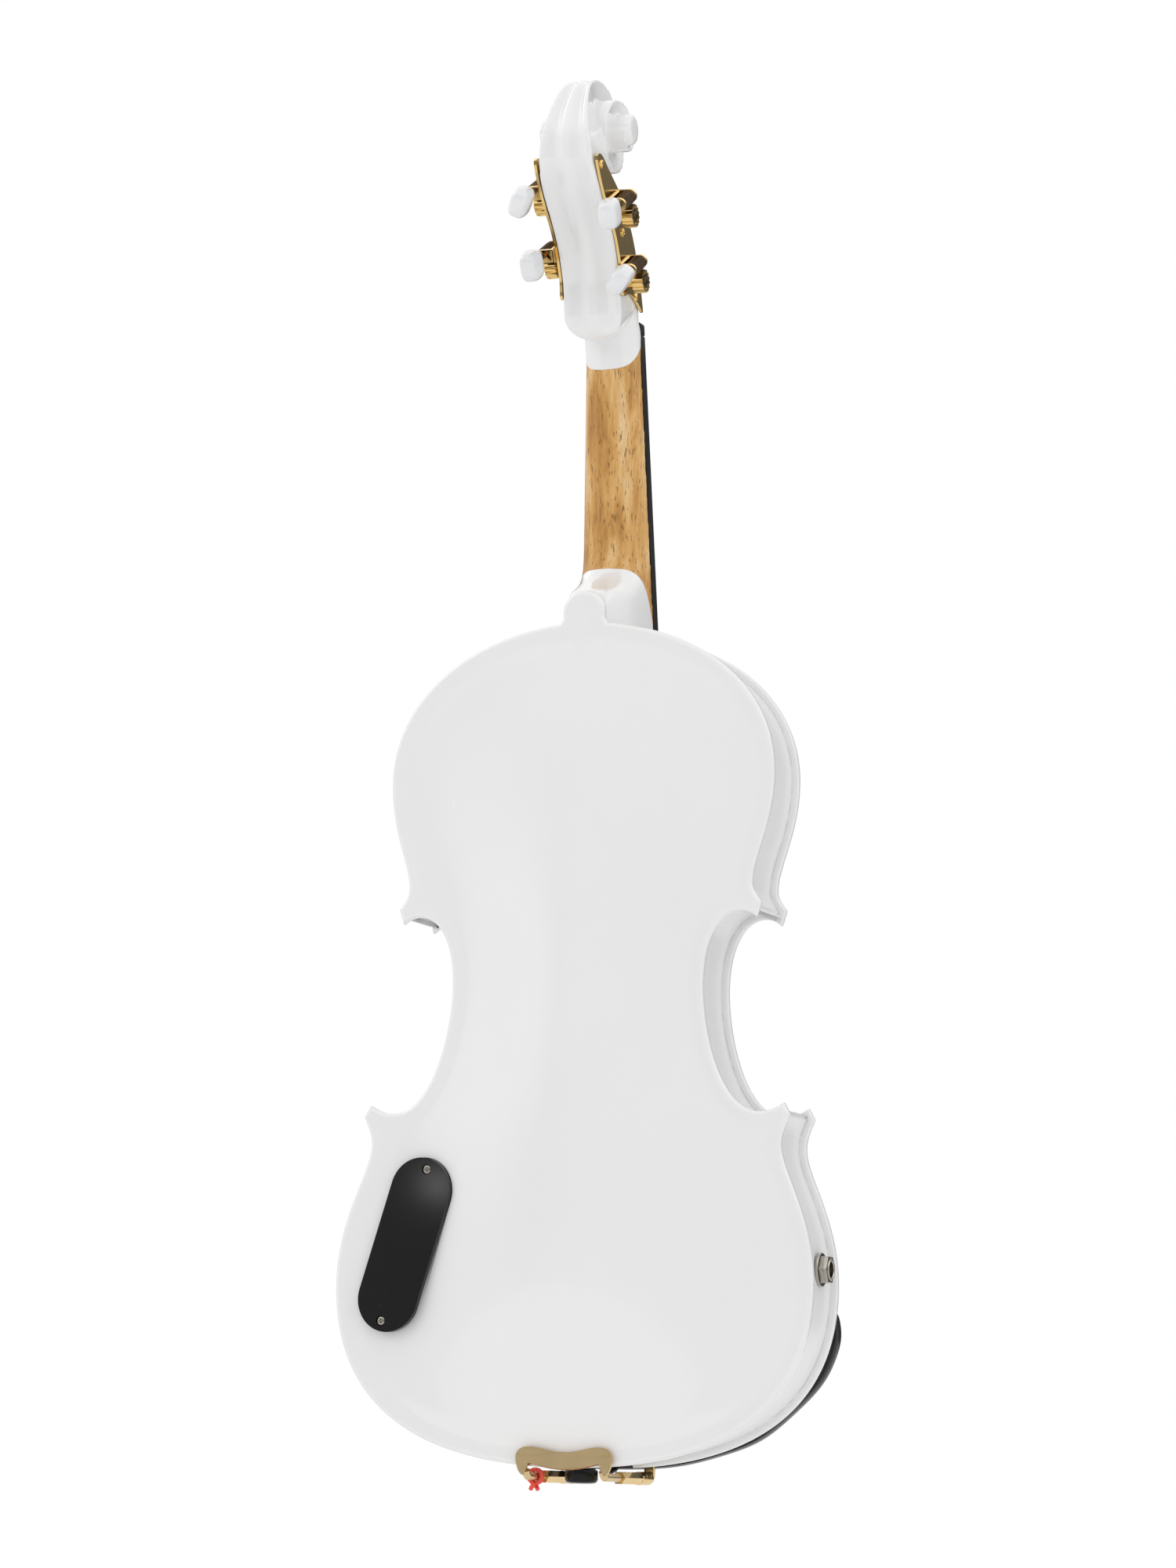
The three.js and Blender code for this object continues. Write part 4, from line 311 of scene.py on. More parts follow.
def half_outline():
    """One side of the body, from the middle of the lower edge to the middle of the upper one."""
    lower, waist, upper = HALF_WIDTHS["lower"], HALF_WIDTHS["waist"], HALF_WIDTHS["upper"]

    def at(x, z):
        return Vector((x, z * BODY_LENGTH))

    low_neck, high_neck = at(0.861 * lower, 0.3764), at(0.8953 * upper, 0.6826)
    low_tip, low_inner = at(0.896 * lower, 0.4101), at(0.8708 * lower, 0.4236)
    high_inner, high_tip = at(0.9209 * upper, 0.6404), at(0.9442 * upper, 0.6587)
    wide, narrow, shoulder = at(lower, 0.2135), at(waist, 0.5646), at(upper, 0.8118)
    runs = [
        (at(0, 0), at(lower * 0.7425, 0), at(lower, 0.0919), wide),
        (wide, at(lower, 0.2933), at(low_neck.x, 0.3438), low_neck),
        (low_neck, at(low_neck.x, 0.389), at(0.883 * lower, 0.402), low_tip),
        (low_tip, low_tip.lerp(low_inner, 1 / 3), low_tip.lerp(low_inner, 2 / 3), low_inner),
        (low_inner, at(0.6274 * lower, 0.3787), at(waist, 0.5037), narrow),
        (narrow, at(waist, 0.6466), at(0.828 * upper, 0.661), high_inner),
        (high_inner, high_inner.lerp(high_tip, 1 / 3), high_inner.lerp(high_tip, 2 / 3), high_tip),
        (high_tip, at(0.915 * upper, 0.668), at(high_neck.x, 0.674), high_neck),
        (high_neck, at(high_neck.x, 0.7132), at(upper, 0.7514), shoulder),
        (shoulder, at(upper, 0.9129), at(upper * 0.62, 0.994), at(0, 1)),
    ]
    points = []
    for run in runs:
        rough = [bezier(*run, i / 40) for i in range(41)]
        length = sum((b - a).length for a, b in zip(rough, rough[1:]))
        steps = max(4, round(length / POINT_SPACING))
        points += [bezier(*run, i / steps) for i in range(steps)]
    return points + [at(0, 1)]


def whole_outline(button=False):
    half = half_outline()
    if button:
        middle = BODY_LENGTH + BUTTON_HEIGHT - BUTTON_HALF
        turn = [math.pi / 2 * i / 14 for i in range(15)]
        half = [p for p in half if not (p.y > BODY_LENGTH / 2 and p.x < BUTTON_HALF + 0.6)]
        foot = half[-1].y
        half += [Vector((BUTTON_HALF, foot + (middle - foot) * i / 3)) for i in range(1, 3)]
        half += [Vector((BUTTON_HALF * math.cos(a), middle + BUTTON_HALF * math.sin(a))) for a in turn]
        half[-1].x = 0.0
    return half + [Vector((-p.x, p.y)) for p in reversed(half[1:-1])]


def drawn_in(loop, inset):
    """The loop moved inwards, corner by corner."""
    moved = []
    for i, p in enumerate(loop):
        before = (p - loop[i - 1]).normalized()
        after = (loop[(i + 1) % len(loop)] - p).normalized()
        inward = Vector((-before.y - after.y, before.x + after.x)).normalized()
        lean = max(inward.dot(Vector((-before.y, before.x))), 0.5)
        moved.append(p + inward * (inset / lean))
    return moved


def smooth_between(levels, values, at):
    """A smooth curve through given values."""
    slopes = [(values[min(i + 1, len(values) - 1)] - values[max(i - 1, 0)])
              / (levels[min(i + 1, len(values) - 1)] - levels[max(i - 1, 0)]) for i in range(len(values))]
    i = max(0, min(len(levels) - 2, sum(1 for level in levels[1:-1] if level <= at)))
    run = levels[i + 1] - levels[i]
    t = (at - levels[i]) / run
    return ((1 + 2 * t) * (1 - t) ** 2 * values[i] + t * (1 - t) ** 2 * run * slopes[i]
            + t * t * (3 - 2 * t) * values[i + 1] + t * t * (t - 1) * run * slopes[i + 1])


def arch_height(x, z, rise, margin, reach):
    """How high an arch stands over a place: full along the middle, nothing at the margins."""
    t = (z - margin) / (BODY_LENGTH - 2 * margin)
    if t <= 0 or t >= 1:
        return 0.0
    half = smooth_between(ARCH_LEVELS, ARCH_WIDTHS, z / BODY_LENGTH) * HALF_WIDTHS["lower"] * reach
    if abs(x) >= half:
        return 0.0
    along = (1 - abs(2 * t - 1) ** 2.4) ** 1.15
    return rise * along * math.cos(abs(x) / half * math.pi / 2) ** 1.6


def rounding(distance, radius):
    """How far a rounded edge falls, at a distance from it."""
    if distance >= radius:
        return 0.0
    return radius - math.sqrt(radius ** 2 - (radius - distance) ** 2)


def inside(loop, x, y):
    crossed = False
    for a, b in zip(loop, loop[1:] + loop[:1]):
        if (a.y > y) != (b.y > y) and x < (b.x - a.x) * (y - a.y) / (b.y - a.y) + a.x:
            crossed = not crossed
    return crossed


def pick(piece):
    """Makes a piece the only one selected, and the active one."""
    bpy.ops.object.select_all(action="DESELECT")
    piece.select_set(True)
    bpy.context.view_layer.objects.active = piece


def drawn(name, points, faces):
    """A piece from points in millimetres and the faces between them."""
    mesh = bpy.data.meshes.new(name)
    mesh.from_pydata([tuple(p) for p in points], [], faces)
    piece = bpy.data.objects.new(name, mesh)
    scene.collection.objects.link(piece)
    return piece


def modify(piece, kind, **settings):
    """Adds a modifier and applies it at once."""
    pick(piece)
    modifier = piece.modifiers.new(kind.lower(), kind)
    for key, value in settings.items():
        setattr(modifier, key, value)
    bpy.ops.object.modifier_apply(modifier=modifier.name)


def cut(piece, cutter):
    modify(piece, "BOOLEAN", operation="DIFFERENCE", object=cutter, solver="MANIFOLD")
    bpy.data.objects.remove(cutter)


def moved(piece, matrix):
    piece.data.transform(matrix)
    return piece


def shifted(piece, x=0, y=0, z=0):
    return moved(piece, Matrix.Translation((x, y, z)))


def face_out(piece):
    """Merges doubles and turns every face outwards."""
    pick(piece)
    bpy.ops.object.mode_set(mode="EDIT")
    bpy.ops.mesh.select_all(action="SELECT")
    bpy.ops.mesh.remove_doubles(threshold=0.0005)
    bpy.ops.mesh.normals_make_consistent(inside=False)
    bpy.ops.object.mode_set(mode="OBJECT")


def loft(name, rings):
    """A closed skin through rings of equally many points."""
    count = len(rings[0])
    faces = [tuple(reversed(range(count))), tuple(range((len(rings) - 1) * count, len(rings) * count))]
    for r in range(len(rings) - 1):
        for i in range(count):
            a, b = r * count + i, r * count + (i + 1) % count
            faces.append((a, b, b + count, a + count))
    piece = drawn(name, [p for ring in rings for p in ring], faces)
    face_out(piece)
    return piece


def slab(name, loop, low, high, lift=lambda a, b, h: (a, h, b)):
    """A loop of (a, b) places pushed through from one level to another."""
    return loft(name, [[lift(a, b, level) for a, b in loop] for level in (low, high)])


def seat(piece, finish, body, slot, *stands_for, frame=BODY, angle=35, flat=False):
    """Puts a piece drawn in millimetres in its place, and gives it its finish, body and node; its slot is not used.
    """
    piece.data.transform(frame)
    piece.data.materials.clear()
    piece.data.materials.append(finish.material)
    pick(piece)
    bpy.ops.object.shade_smooth_by_angle(angle=math.radians(angle))
    if flat:
        modify(piece, "WEIGHTED_NORMAL", weight=90, keep_sharp=True)
    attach(piece, body)
    if stands_for:
        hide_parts(*stands_for)
    return piece


def carved_plate(name, rise, side, button):
    """A plate as two sheets of triangles over one plan, joined round the edge."""
    loop = whole_outline(button)
    tree = KDTree(len(loop))
    for i, p in enumerate(loop):
        tree.insert((p.x, p.y, 0), i)
    tree.balance()
    plan = list(loop)
    reach = [0.0] * len(loop)
    for row in EDGE_ROWS:
        for i, p in enumerate(drawn_in(loop, row)):
            if row > 3 and i % 2:
                continue
            if tree.find((p.x, p.y, 0))[2] > row * 0.93:
                plan.append(p)
                reach.append(row)
    rows = int(BODY_LENGTH / GRID_SPACING)
    for j in range(rows):
        for i in range(-40, 41):
            x = (i + 0.5 * (j % 2)) * GRID_SPACING
            z = (j + 0.5) * BODY_LENGTH / rows
            if inside(loop, x, z):
                near = tree.find((x, z, 0))[2]
                if near > EDGE_ROWS[-1] + GRID_SPACING * 0.6:
                    plan.append(Vector((x, z)))
                    reach.append(near)
    edges = [(i, (i + 1) % len(loop)) for i in range(len(loop))]
    flat, _, triangles, origin, _, _ = delaunay_2d_cdt(plan, edges, [], 1, 1e-5)
    distance = [reach[sources[0]] if sources else 0.0 for sources in origin]
    count = len(flat)
    points = []
    for sheet in ("outer", "inner"):
        for p, d in zip(flat, distance):
            dip = CHANNEL["depth"] * math.exp(-((d - CHANNEL["middle"]) / CHANNEL["reach"]) ** 2)
            if sheet == "outer":
                y = EDGE_FACE + arch_height(p.x, p.y, rise, *ARCH_OUTER) - rounding(d, EDGE_ROUND["outer"]) - dip
            else:
                y = HALF_RIB + arch_height(p.x, p.y, rise + PLATE_EDGE - PLATE_THICKNESS, *ARCH_INNER)
                y += rounding(d, EDGE_ROUND["inner"])
            points.append((p.x, side * y, p.y))
    edge = [i for i, sources in enumerate(origin) if sources and sources[0] < len(loop)]
    edge.sort(key=lambda i: origin[i][0])
    faces = [tuple(t) for t in triangles] + [tuple(i + count for i in reversed(t)) for t in triangles]
    faces += [(a, b, b + count, a + count) for a, b in zip(edge, edge[1:] + edge[:1])]
    piece = drawn(name, points, faces)
    face_out(piece)
    return piece


lacquer = Finish("white_lacquer", (0.83, 0.83, 0.83), 0.16, coat=0.5)
ripple = lacquer.noise(24.0, 2.0)
lacquer.tint(ripple, (0.82, 0.82, 0.82), (0.84, 0.84, 0.838))
lacquer.gloss(lacquer.noise(60.0, 3.0), 0.13, 0.2)
lacquer.bump(ripple, 0.03, 0.002)

COVER_AT = (0.665 * HALF_WIDTHS["lower"], 0.0, 0.2556 * BODY_LENGTH)
COVER_LEAN = math.radians(16.8)
COVER_TILT = math.radians(7)
COVER_SIZE = (28.4, 75.4)
COVER_THICKNESS = 2.2
COVER_ARCH = arch_height(COVER_AT[0], COVER_AT[2], ARCH_RISES["back"], *ARCH_OUTER)
COVER_SEAT = EDGE_FACE + COVER_ARCH + COVER_THICKNESS * 0.35
COVER_TOP = COVER_SEAT + COVER_THICKNESS
RECESS = {"gap": 0.6, "depth": 2.2}
COVER = (BODY @ Matrix.Translation(COVER_AT) @ Matrix.Rotation(-COVER_LEAN, 4, "Y")
         @ Matrix.Rotation(-COVER_TILT, 4, "Z"))


def stadium(width, length, steps=24):
    """A rectangle with round ends, as a loop of (x, z) places."""
    reach = (length - width) / 2
    turns = [math.pi * i / steps for i in range(steps + 1)]
    return ([(width / 2 * math.cos(a), reach + width / 2 * math.sin(a)) for a in turns]
            + [(-width / 2 * math.cos(a), -reach - width / 2 * math.sin(a)) for a in turns])


back_plate = carved_plate("carved_back", ARCH_RISES["back"], 1, True)
recess = slab("cover_recess", stadium(*(size + RECESS["gap"] for size in COVER_SIZE)),
              COVER_SEAT - RECESS["depth"], COVER_SEAT + 12)
cut(back_plate, moved(recess, BODY.inverted() @ COVER))
seat(back_plate, lacquer, "body", "white_lacquer", "back_plate")

# place across, place up and radius of the two round eyes, and widths of the stem
SOUND_HOLE = {"upper": (24.0, 192.0, 3.2), "lower": (50.0, 127.0, 4.4), "stem": 5.6, "tip": 1.8}
THROUGH_BELLY = (-40, -10)
KNOB_PLACES = {"volume": (0.7076 * HALF_WIDTHS["lower"], 0.1404 * BODY_LENGTH),
               "tone": (0.5284 * HALF_WIDTHS["lower"], 0.09 * BODY_LENGTH)}


def ring_loop(x, z, radius, steps=32):
    turns = [2 * math.pi * i / steps for i in range(steps)]
    return [(x + radius * math.cos(a), z + radius * math.sin(a)) for a in turns]


def rectangle(half, low, high):
    return [(-half, low), (half, low), (half, high), (-half, high)]


def stem_loop(side, steps=24):
    """The waving stem of a sound hole, pointed at both ends."""
    (ux, uz, ur), (lx, lz, lr) = SOUND_HOLE["upper"], SOUND_HOLE["lower"]
    bow = (lx - ux) / 2
    run = [Vector(p) for p in ((ux + ur, uz + ur * 1.6), (ux + ur + bow * 1.5, uz + ur * 2),
                               (lx - lr - bow * 1.5, lz - lr * 2), (lx - lr, lz - lr * 1.4))]
    edges = ([], [])
    for i in range(steps + 1):
        t = i / steps
        along = (bezier(*run, min(t + 0.01, 1)) - bezier(*run, max(t - 0.01, 0))).normalized()
        half = (SOUND_HOLE["tip"] + (SOUND_HOLE["stem"] - SOUND_HOLE["tip"]) * math.sin(math.pi * t)) / 2
        p = bezier(*run, t)
        for hand, edge in zip((1, -1), edges):
            edge.append((side * (p.x - hand * along.y * half), p.y + hand * along.x * half))
    return edges[0] + edges[1][::-1]


belly = carved_plate("carved_belly", ARCH_RISES["belly"], -1, False)
for side in (1, -1):
    eyes = [ring_loop(side * x, z, radius) for x, z, radius in (SOUND_HOLE["upper"], SOUND_HOLE["lower"])]
    for loop in (stem_loop(side), *eyes):
        cut(belly, slab("sound_hole_cut", loop, *THROUGH_BELLY))
for place in KNOB_PLACES.values():
    cut(belly, slab("knob_hole_cut", ring_loop(*place, 4.9), *THROUGH_BELLY))
cut(belly, slab("neck_notch_cut", rectangle(21, BODY_LENGTH - 6.3, BODY_LENGTH + 6), *THROUGH_BELLY))
cut(belly, slab("saddle_notch_cut", rectangle(17.3, -3, 7.3), -26, -10))
seat(belly, lacquer, "body", "white_lacquer", "top_plate")

# Ribs: thin strips of bent maple between the plates, set in from their edges, under the same white lacquer, its
# colour painted a touch greyer than the plates' as painted shade on the sides.
# They are thicker inside the four corners, and a worn hairline shows at their joint to the belly.
RIB_INSET = 2.8
RIB_THICKNESS = 1.4
HAIRLINE = (0.0146, 0.0147)
ribs_finish = Finish("rib_lacquer", (0.82, 0.82, 0.82), 0.32, coat=0.15)
through_body = ribs_finish.axes()[1]
hairline = ribs_finish.step((through_body + HANGER.y) * -1, *HAIRLINE)
worn = ribs_finish.step(ribs_finish.noise(160.0, 2.0), 0.46, 0.5)
# the rib paint is a touch greyer than the plates' lacquer: painted shade on the sides, not a different paint
shaded_rib_paint = ribs_finish.mix(ribs_finish.noise(24.0, 2.0), (0.79, 0.79, 0.795), (0.82, 0.82, 0.82))
ribs_finish.tint(hairline * worn * 0.55, shaded_rib_paint, (0.3, 0.26, 0.22))
ribs_finish.gloss(ribs_finish.noise(60.0, 3.0), 0.28, 0.36)
ribs_finish.bump(ribs_finish.noise(24.0, 2.0), 0.03, 0.002)
BLOCK_REACH = 11.0
SHARP_TURN = math.radians(40)
edge_line = whole_outline()
outer, inner = (drawn_in(edge_line, d) for d in (RIB_INSET, RIB_INSET + RIB_THICKNESS))
count = len(outer)
tips = []
for i, p in enumerate(edge_line):
    before, after = p - edge_line[i - 1], edge_line[(i + 1) % count] - p
    if before.angle(after) > SHARP_TURN:
        tips.append(p)
blocked = [min((p - tip).length for tip in tips) < BLOCK_REACH for p in edge_line]
for i in range(count):
    if blocked[i] and not blocked[i - 1]:
        run = next(k for k in range(1, count) if not blocked[(i + k) % count])
        for k in range(run):
            inner[(i + k) % count] = inner[i - 1].lerp(inner[(i + run) % count], (k + 1) / (run + 1))
rib_points = [(p.x, y, p.y) for loop in (outer, inner) for y in (-HALF_RIB, HALF_RIB) for p in loop]
rib_faces = []
for i in range(count):
    j = (i + 1) % count
    rib_faces += [(i, j, j + count, i + count), (j + 2 * count, i + 2 * count, i + 3 * count, j + 3 * count)]
    rib_faces += [(j, i, i + 2 * count, j + 2 * count), (i + count, j + count, j + 3 * count, i + 3 * count)]
ribs = drawn("bent_ribs", rib_points, rib_faces)
face_out(ribs)
seat(ribs, ribs_finish, "body", "white_lacquer", "rib_garland")

# Neck, heel, pegbox and scroll: carved from one piece of maple.
# Heel and head are lacquered white; the shaft between is bare oiled wood, bordered by two curved paint edges.
# The pegbox leans back from the neck, and two flutes with a ridge between run up its back and over the volute.
NECK_LENGTH = 137.0
NUT_LEVEL = BODY_LENGTH + NECK_LENGTH
NUT_WIDTH = 5.6
BOARD_LENGTH = 270.0
BOARD_WIDTHS = (23.4, 40.5)
NECK_FACE = (12.0, 26.0)
NECK_DEPTH = {"nut": 11.8, "heel": 13.2}
SEAT_GAP = 0.3
# height above the body's upper edge, back reach and squareness as shares
NECK_LIFTS = (-6.0, 6.5, 11.0, 14.5, 18.0, 22.0, 27.0, 34.0)
NECK_REACHES = (1.0, 1.0, 0.965, 0.86, 0.62, 0.36, 0.14, 0.02)
NECK_SQUARES = (1.0, 1.0, 0.95, 0.8, 0.55, 0.3, 0.12, 0.0)
HEEL_SHARES = ((1, 0), (0.96, 0.3), (0.86, 0.6), (0.66, 0.88), (0.52, 1), (0.26, 1), (0, 1))
ROUND_SHARES = ((1, 0), (0.975, 0.22), (0.9, 0.47), (0.75, 0.7), (0.53, 0.88), (0.27, 0.97), (0, 1))
HEAD_LENGTH = 104.0
CHEEK = 13.0
# side view of the pegbox: back reach by height, then front reach by height, as shares of the head length
BACK_LEVELS = (-0.1, -0.055, 0, 0.065, 0.135, 0.22, 0.37, 0.48, 0.56, 0.635, 0.71, 0.77, 0.83)
BACK_REACHES = (0.06, 0.085, 0.13, 0.145, 0.125, 0.094, 0.088, 0.108, 0.135, 0.155, 0.162, 0.155, 0.125)
FRONT_LEVELS = (-0.05, -0.012, 0.08, 0.19, 0.33, 0.46, 0.575, 0.66, 0.778, 0.83)
FRONT_REACHES = (-0.075, -0.082, -0.106, -0.12, -0.115, -0.085, -0.046, -0.02, -0.06, -0.07)
PEGBOX_WIDTHS = ((-0.05, 0.085, 0.62, 0.74, 0.88), (1.0, 1.0, 1.0, 0.94, 0.8))
CHIN_CENTRE = CHEEK * 0.68
CAVITY_SHARES = ((-0.19, 0.02), (0.045, 0.02), (0.07, 0.115), (0.052, 0.23), (0.05, 0.365), (0.066, 0.48),
                 (0.082, 0.57), (0.05, 0.645), (-0.045, 0.63), (-0.19, 0.56))
VOLUTE_CENTRE = (-0.165 * HEAD_LENGTH, 0.778 * HEAD_LENGTH)
VOLUTE_RADIUS = 31.2
EYE_HALF = 21.0
TURN_RADII = (1.2, 1.05, 0.8, 0.73, 0.705, 0.68, 0.641, 0.596, 0.551, 0.506, 0.468, 0.429, 0.397, 0.365,
              0.336, 0.308, 0.282, 0.256, 0.234, 0.212)
TURN_WIDTHS = (0.62, 0.552, 0.4, 0.281, 0.286, 0.324, 0.443, 0.533, 0.59, 0.629, 0.662, 0.7, 0.743, 0.786,
               0.824, 0.862, 0.895, 0.929, 0.962, 0.99)
FLUTE_DEPTH = 2.0
VOXEL = 0.6
HEAD = Matrix.Translation((0, -1.5, NUT_LEVEL - 3.7)) @ Matrix.Rotation(math.radians(-30), 4, "X")


def lerp(a, b, t):
    return a + (b - a) * t


def neck_face(z):
    return -lerp(*NECK_FACE, (NUT_LEVEL - z) / NECK_LENGTH)


def board_half(z):
    return lerp(*BOARD_WIDTHS, (NUT_LEVEL - z) / BOARD_LENGTH) / 2


def neck_ring(z, depth, square, steps=30):
    half = []
    for i in range(steps + 1):
        t = 6 * i / steps
        x, y = (lerp(smooth_between(range(7), [s[k] for s in ROUND_SHARES], t),
                     smooth_between(range(7), [s[k] for s in HEEL_SHARES], t), square) for k in (0, 1))
        half.append((board_half(z) * x, neck_face(z) + depth * min(y, 1), z))
    return half + [(-x, y, z) for x, y, z in reversed(half[:-1])]


def neck_shaft():
    rings = []
    for i in range(34):
        lift = lerp(NECK_LIFTS[0], NECK_LIFTS[-1], i / 33)
        z = BODY_LENGTH + lift
        to_button = HALF_RIB - SEAT_GAP - neck_face(z)
        reach = smooth_between(NECK_LIFTS, NECK_REACHES, lift)
        square = smooth_between(NECK_LIFTS, NECK_SQUARES, lift)
        rings.append(neck_ring(z, lerp(NECK_DEPTH["heel"], to_button, min(reach, 1)), min(square, 1)))
    start = BODY_LENGTH + NECK_LIFTS[-1]
    for i in range(1, 21):
        z = lerp(start, NUT_LEVEL, i / 20)
        rings.append(neck_ring(z, lerp(NECK_DEPTH["heel"], NECK_DEPTH["nut"], i / 20), 0))
    return loft("neck_shaft", rings)


def throat():
    """The swell that carries the neck into the front of the pegbox."""
    levels = (470, 480, 487, 492, 502, 506)
    fronts = (*(neck_face(z) for z in levels[:3]), -9, -6.9, -5.5)
    backs = (-2.3, -1, 2, 5.5, 10.5, 12)
    rings = []
    for i in range(19):
        z = lerp(levels[0], levels[-1], i / 18)
        half = lerp(12.1, CHEEK, i / 18)
        front, back = (smooth_between(levels, values, z) for values in (fronts, backs))
        rings.append([(x / board_half(z) * half, front + (y - neck_face(z)) * (back - front), z)
                      for x, y, z in neck_ring(z, 1.0, i / 36)])
    return loft("neck_throat", rings)


def fluting(u):
    """Depth share of the two flutes across a face, u from -1 to 1."""
    off = (abs(u) - 0.47) / 0.42
    return math.cos(off * math.pi / 2) ** 2 if abs(off) < 1 else 0.0


def pegbox():
    bottom = CHIN_CENTRE - CHEEK
    levels = [CHIN_CENTRE - CHEEK * math.cos(math.pi / 2 * (i + 0.4) / 24) for i in range(24)]
    levels += [lerp(CHIN_CENTRE, 0.83 * HEAD_LENGTH, i / 60) for i in range(61)]
    rings = []
    for z in levels:
        share = z / HEAD_LENGTH
        wide = CHEEK * smooth_between(*PEGBOX_WIDTHS, share)
        if z < CHIN_CENTRE:
            wide = math.sqrt(max(CHEEK ** 2 - (CHIN_CENTRE - z) ** 2, 0.2))
        back = smooth_between(BACK_LEVELS, BACK_REACHES, share) * HEAD_LENGTH
        front = smooth_between(FRONT_LEVELS, FRONT_REACHES, share) * HEAD_LENGTH
        fade = min(max((z - bottom - 3.5) / 7, 0), 1)
        depth = FLUTE_DEPTH * fade * fade * (3 - 2 * fade)
        across = [math.sin(math.pi / 2 * (i / 20 - 1)) for i in range(41)]
        ring = [(wide * u, back - depth * fluting(u), z) for u in across]
        ring += [(wide * (1 - i / 5), front, z) for i in range(11)]
        rings.append(ring)
    return loft("pegbox", rings)


def volute_turn(first, last, lap=0.8):
    """A part of the scroll, between two eighths of a turn; its rings lap onto the turn inside."""
    levels = range(-1, len(TURN_RADII) - 1)
    rings = []
    count = round((last - first) * 14)
    for i in range(count + 1):
        eighth = lerp(first, last, i / count)
        angle = eighth * math.pi / 4
        outer, inner = (VOLUTE_RADIUS * smooth_between(levels, TURN_RADII, min(e, levels[-1]))
                        for e in (eighth, eighth + 8))
        inner -= lap
        wide = EYE_HALF * smooth_between(levels, TURN_WIDTHS, eighth)
        hollow = min(1.3, wide / 6)
        flute = FLUTE_DEPTH * min(max(6 - eighth, 0), 1)
        across = [math.sin(math.pi / 2 * (1 - i / 12)) for i in range(25)]
        section = [(wide * u, outer - flute * fluting(u)) for u in across]
        cheek = [(wide - hollow * math.sin(math.pi / 2 * k / 6), lerp(outer, inner, k / 6)) for k in range(1, 7)]
        section += [(-x, r) for x, r in cheek] + cheek[::-1]
        rings.append([(x, VOLUTE_CENTRE[0] + r * math.cos(angle), VOLUTE_CENTRE[1] + r * math.sin(angle))
                      for x, r in section])
    return loft("volute_turn", rings)


def turned(name, profile, steps=48):
    """A turned piece round the y axis, from a profile of (radius, level)."""
    piece = drawn(name, [(r, level, 0) for r, level in profile], [])
    mesh = bmesh.new()
    mesh.from_mesh(piece.data)
    mesh.verts.ensure_lookup_table()
    for a, b in zip(mesh.verts[:], mesh.verts[1:]):
        mesh.edges.new((a, b))
    mesh.to_mesh(piece.data)
    mesh.free()
    pick(piece)
    bpy.ops.object.mode_set(mode="EDIT")
    bpy.ops.mesh.select_all(action="SELECT")
    bpy.ops.mesh.spin(steps=steps, angle=2 * math.pi, center=(0, 0, 0), axis=(0, 1, 0))
    bpy.ops.object.mode_set(mode="OBJECT")
    face_out(piece)
    return piece


def joined(*pieces):
    bpy.ops.object.select_all(action="DESELECT")
    for piece in pieces:
        piece.select_set(True)
    bpy.context.view_layer.objects.active = pieces[0]
    bpy.ops.object.join()
    return pieces[0]


TO_X = Matrix.Rotation(math.radians(-90), 4, "Z")
SCREW_TO_X = TO_X.inverted() @ Matrix.Rotation(math.pi, 4, "X")
eye_radius = VOLUTE_RADIUS * TURN_RADII[-1]
eye = turned("scroll_eye", [(0, -EYE_HALF), (eye_radius * 0.7, -EYE_HALF + 0.1), (eye_radius, -EYE_HALF + 0.9),
                            (eye_radius, EYE_HALF - 0.9), (eye_radius * 0.7, EYE_HALF - 0.1), (0, EYE_HALF)])
eye.data.transform(Matrix.Translation((0, *VOLUTE_CENTRE)) @ TO_X)
head_parts = [pegbox(), volute_turn(-0.4, 8.1), volute_turn(7.9, 16.4), eye]
for part in head_parts:
    part.data.transform(HEAD)
neck = joined(neck_shaft(), throat(), *head_parts)
neck.name = "neck_head"
modify(neck, "REMESH", mode="VOXEL", voxel_size=VOXEL)
modify(neck, "SMOOTH", factor=0.5, iterations=9)

# side, height up the head, start of the string's laps on the post, turn of the button
MACHINES = {"g": (-1, 0.18, 4.2, 0.27), "e": (1, 0.266, 4.2, 0.5), "d": (-1, 0.459, 1.6, 0.5),
            "a": (1, 0.536, 1.6, 0.35)}
POST_LINE = 1.0
POST_BORE = 2.36
cavity_half = BOARD_WIDTHS[0] / 2 * 0.72
cavity = loft("cavity_cut", [[(side * cavity_half * lerp(1, 0.78, z / 0.7), y * HEAD_LENGTH, z * HEAD_LENGTH)
                              for y, z in CAVITY_SHARES] for side in (-1, 1)])
cut(neck, moved(cavity, HEAD))
for side, share, *_ in MACHINES.values():
    bore = slab("post_bore", ring_loop(POST_LINE, share * HEAD_LENGTH, POST_BORE), side * -10.9, side * (CHEEK + 4),
                lift=lambda a, b, h: (h, a, b))
    cut(neck, moved(bore, HEAD))
nut_seat = rectangle(26, NUT_LEVEL - NUT_WIDTH - SEAT_GAP, NUT_LEVEL + 2)
cut(neck, slab("nut_seat_cut", nut_seat, -100, neck_face(NUT_LEVEL)))

neck_wood = Finish("maple_neck", (0.55, 0.33, 0.13), 0.45)
deep, high = neck_wood.axes()[1:]
